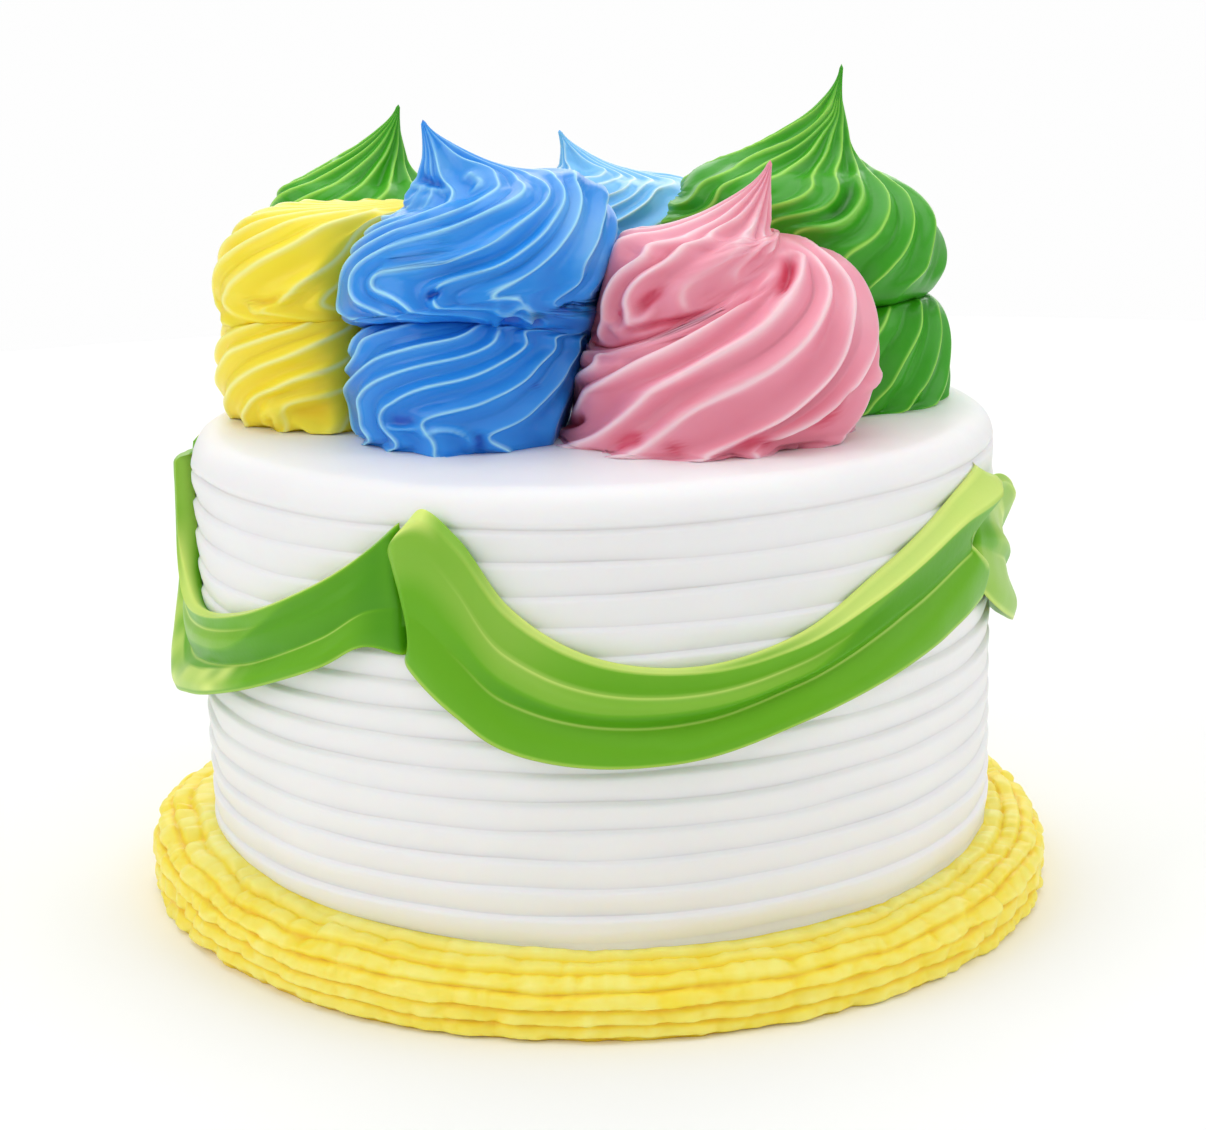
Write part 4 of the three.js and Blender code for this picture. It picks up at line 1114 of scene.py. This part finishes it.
def swirl_piece(swirl, seed):
    stage = np.concatenate([np.linspace(a, b, n, endpoint=False) for a, b, n in STAGE_ROWS])
    levels = swirl_levels(swirl, stage).T[..., None]
    angle, from_crest = crest_angles(swirl, stage)
    stage = stage[:, None]
    radius, _, shift_x, shift_y, _, _ = levels
    flat = ring_points(levels, angle)
    fold_height, fold_tint, calm = fold_fields(swirl, flat)
    # Spacing of the crests across their own run, for the width of the lips.
    along = unit(np.gradient(flat, axis=0))
    ahead = np.roll(flat, -RIDGE_COLUMNS // 2, 1) - np.roll(flat, RIDGE_COLUMNS // 2, 1)
    spacing = np.linalg.norm(ahead - (ahead * along).sum(-1, keepdims=True) * along, axis=-1)
    # Where the icing climbed from one tier to the next, the gap is filled.
    closed, filled = gap_fill(swirl, np.degrees(angle), stage, radius)
    base = flat.copy()
    base[..., 0] += filled * np.cos(angle)
    base[..., 1] += filled * np.sin(angle)
    across = np.roll(base, -1, 1) - np.roll(base, 1, 1)
    upward = np.gradient(base, axis=0) / np.gradient(stage[:, 0])[:, None, None]
    outward = unit(np.cross(across, upward))
    # Each ridge is a hollow between two thin lips, with a step on one side.
    ridge_number = np.repeat(np.arange(swirl["ridges"]), RIDGE_COLUMNS)
    ridge_number = np.roll(ridge_number, -RIDGE_COLUMNS // 2)
    turns = round(0.38 * swirl["ridges"]) / swirl["ridges"]
    uneven = 1 + 0.3 * np.sin(TAU * turns * (ridge_number + from_crest) + seed + stage * 2.2)
    distance = np.abs(from_crest) * spacing
    lip = bell(distance, swirl["lip_width"])
    hollow = 0.5 + 0.5 * np.cos(TAU * from_crest)
    side = np.where(from_crest > 0, -1, 1)
    step = side * np.exp(-(distance / STEP_LENGTH)) * (1 - lip) * (1 - (2 * from_crest) ** 2)
    # The ridges calm down in the gap, under the high tier, where they crowd and beside folds.
    near_gap = bell(stage - GAP_STAGE, GAP_WIDTH) * (1 - closed)
    fade = swirl["fade_below"]
    underside = smoothstep(2.0, 2.2, stage) * smoothstep(fade, fade - 0.35, stage)
    narrow = np.clip(spacing / FULL_SPACING, 0, 1) * smoothstep(1.0, 9.0, np.linalg.norm(upward, axis=-1))
    lobes = 1 + 0.9 * smoothstep(0.35, 0.0, stage)
    amount = lobes * (1 - swirl["gap_calm"] * near_gap) * (1 - UNDERSIDE_CALM * underside)
    amount = amount * narrow * (1 - FOLD_CALM * calm)
    shelf = 1 - 0.6 * smoothstep(0.8, 0.98, outward[..., 2])
    ridge = swirl["hollow"] * (hollow - 0.75) * uneven + swirl["lip"] * lip + swirl["step"] * step
    bump = amount * shelf * ridge + fold_height
    # At the foot the lobes only reach out sideways.
    sideways = outward.copy()
    sideways[..., 2] *= smoothstep(0.0, 0.4, stage)
    points = base + bump[..., None] * unit(sideways)
    points[stage[:, 0] < 0.001, :, 2] = 0
    taper = 1 - smoothstep(4.5, 5.0, stage)
    wobble = WOBBLE * np.stack([noise(points / WOBBLE_LENGTH, seed + k) for k in range(3)], -1)
    wobble[..., 2] *= stage > 0.2
    points = points + wobble * (0.3 + 0.7 * taper)[..., None]
    points[..., 2] = np.maximum(points[..., 2], 0.0)
    middles = np.stack([shift_x + 0 * angle, shift_y + 0 * angle], -1)
    points = press(points, middles, pressed_faces(swirl))
    # Painted highlights on the lips, painted shade in the hollows and the gap, and painted light on faces
    # that look up.
    lip_highlight = bell(distance, 0.8 * swirl["lip_width"]) * np.clip(amount * 1.1, 0, 1)
    painted_shading = PLAIN_TINT + HOLLOW_SHADE * (hollow - 0.6) + LEVEL_LIGHT * outward[..., 2] + LIP_HIGHLIGHT * lip_highlight
    painted_shading = np.clip(painted_shading - swirl["gap_shade"] * near_gap + fold_tint, 0, 1)
    at = np.array([*swirl["at"], CAKE_HEIGHT])
    points = points + at
    points[0, :, 2] -= FOOT_SINK
    foot_ring, tip_ring = swirl["rings"][0], swirl["rings"][-1]
    foot = np.array([*foot_ring[2:4], -FOOT_SINK]) + at
    tip = np.array([*tip_ring[2:4], tip_ring[1]]) + at
    return grid_object("icing_" + swirl["name"], points, foot, tip, values={"painted_shading": painted_shading})


def dress(obj, node, material):
    obj.data.materials.append(material)
    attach(obj, "root")
    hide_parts(node)


dress(cake_body(), "cake_body", WHITE_ICING)
dress(border(), "border", YELLOW_ICING)
for number, (swag_name, swag_stations) in enumerate(SWAGS.items()):
    dress(swag(swag_name, swag_stations, number), swag_name, LIME_ICING)
for number, swirl in enumerate(SWIRLS):
    dress(swirl_piece(swirl, number * 3 + 1), swirl["name"], swirl["material"])


# Floor, lights and camera, in metres.
FLOOR_RADIUS = 0.8
FLOOR_SIDES = 96
FLOOR_COLOUR = (0.95, 0.95, 0.945, 1)
LIGHT_TARGET = Vector((0, 0, 0.07))
# Name, place, size and power.
LIGHTS = [
    ("left", (-1.3, -0.5, 0.9), (1.2, 1.2), 7.5),
    ("right", (1.3, -0.3, 0.8), (1.2, 1.2), 5.5),
    ("front", (0.1, -1.6, 0.9), (1.4, 1.0), 3.5),
    ("top", (0.0, 0.25, 1.5), (1.6, 1.4), 11),
    ("back", (0, 1.5, 0.7), (2.2, 0.8), 8),
]
SURROUND_STRENGTH = 0.42
BACKDROP_STRENGTH = 0.99


def floor():
    """A round pale floor, wide enough to fill the view below the horizon."""
    around = np.arange(FLOOR_SIDES) / FLOOR_SIDES * TAU
    verts = [(FLOOR_RADIUS * math.cos(t), FLOOR_RADIUS * math.sin(t), 0) for t in around]
    mesh = bpy.data.meshes.new("floor")
    mesh.from_pydata(verts, [], [tuple(range(FLOOR_SIDES))])
    obj = bpy.data.objects.new("floor", mesh)
    bpy.context.scene.collection.objects.link(obj)
    material, _, _, shader = new_material("pale floor")
    shader.inputs["Base Color"].default_value = FLOOR_COLOUR
    shader.inputs["Roughness"].default_value = 0.9
    shader.inputs["Specular IOR Level"].default_value = 0.1
    mesh.materials.append(material)


def area_light(name, place, size, power):
    data = bpy.data.lights.new(name, "AREA")
    data.shape = "RECTANGLE"
    data.size, data.size_y = size
    data.energy = power
    obj = bpy.data.objects.new(name, data)
    bpy.context.scene.collection.objects.link(obj)
    obj.location = place
    obj.rotation_euler = (LIGHT_TARGET - Vector(place)).to_track_quat("-Z", "Y").to_euler()


def studio():
    """White light from all around, and a brighter backdrop that only the camera sees."""
    world = bpy.data.worlds.new("studio")
    world.use_nodes = True
    nodes, links = world.node_tree.nodes, world.node_tree.links
    seen = nodes.new("ShaderNodeLightPath")
    choice = nodes.new("ShaderNodeMixShader")
    links.new(seen.outputs["Is Camera Ray"], choice.inputs["Fac"])
    backdrop = nodes.new("ShaderNodeBackground")
    shades = (nodes["Background"], SURROUND_STRENGTH), (backdrop, BACKDROP_STRENGTH)
    for socket, (shade, strength) in enumerate(shades, 1):
        shade.inputs["Color"].default_value = (1, 1, 1, 1)
        shade.inputs["Strength"].default_value = strength
        links.new(shade.outputs["Background"], choice.inputs[socket])
    links.new(choice.outputs["Shader"], nodes["World Output"].inputs["Surface"])
    bpy.context.scene.world = world


def camera():
    distance, rise = 0.464, 0.179645
    pitch, yaw, roll = 0.2458, 0.0036, -0.0263
    focal_pixels, frame_width, sensor = 2335.408, 1206, 36.0
    forward = Vector((math.sin(yaw) * math.cos(pitch), math.cos(yaw) * math.cos(pitch), -math.sin(pitch)))
    right = Vector((math.cos(yaw), -math.sin(yaw), 0))
    up = right.cross(forward)
    image_right = right * math.cos(roll) + up * math.sin(roll)
    image_up = -right * math.sin(roll) + up * math.cos(roll)
    data = bpy.data.cameras.new("camera")
    data.sensor_width = sensor
    data.sensor_fit = "HORIZONTAL"
    data.lens = focal_pixels / frame_width * sensor
    obj = bpy.data.objects.new("camera", data)
    bpy.context.scene.collection.objects.link(obj)
    turn = Matrix((image_right, image_up, -forward)).transposed()
    obj.matrix_world = Matrix.Translation((0, -distance, rise)) @ turn.to_4x4()
    bpy.context.scene.camera = obj


floor()
for light in LIGHTS:
    area_light(*light)
studio()
bpy.context.scene.view_settings.view_transform = "Standard"
camera()
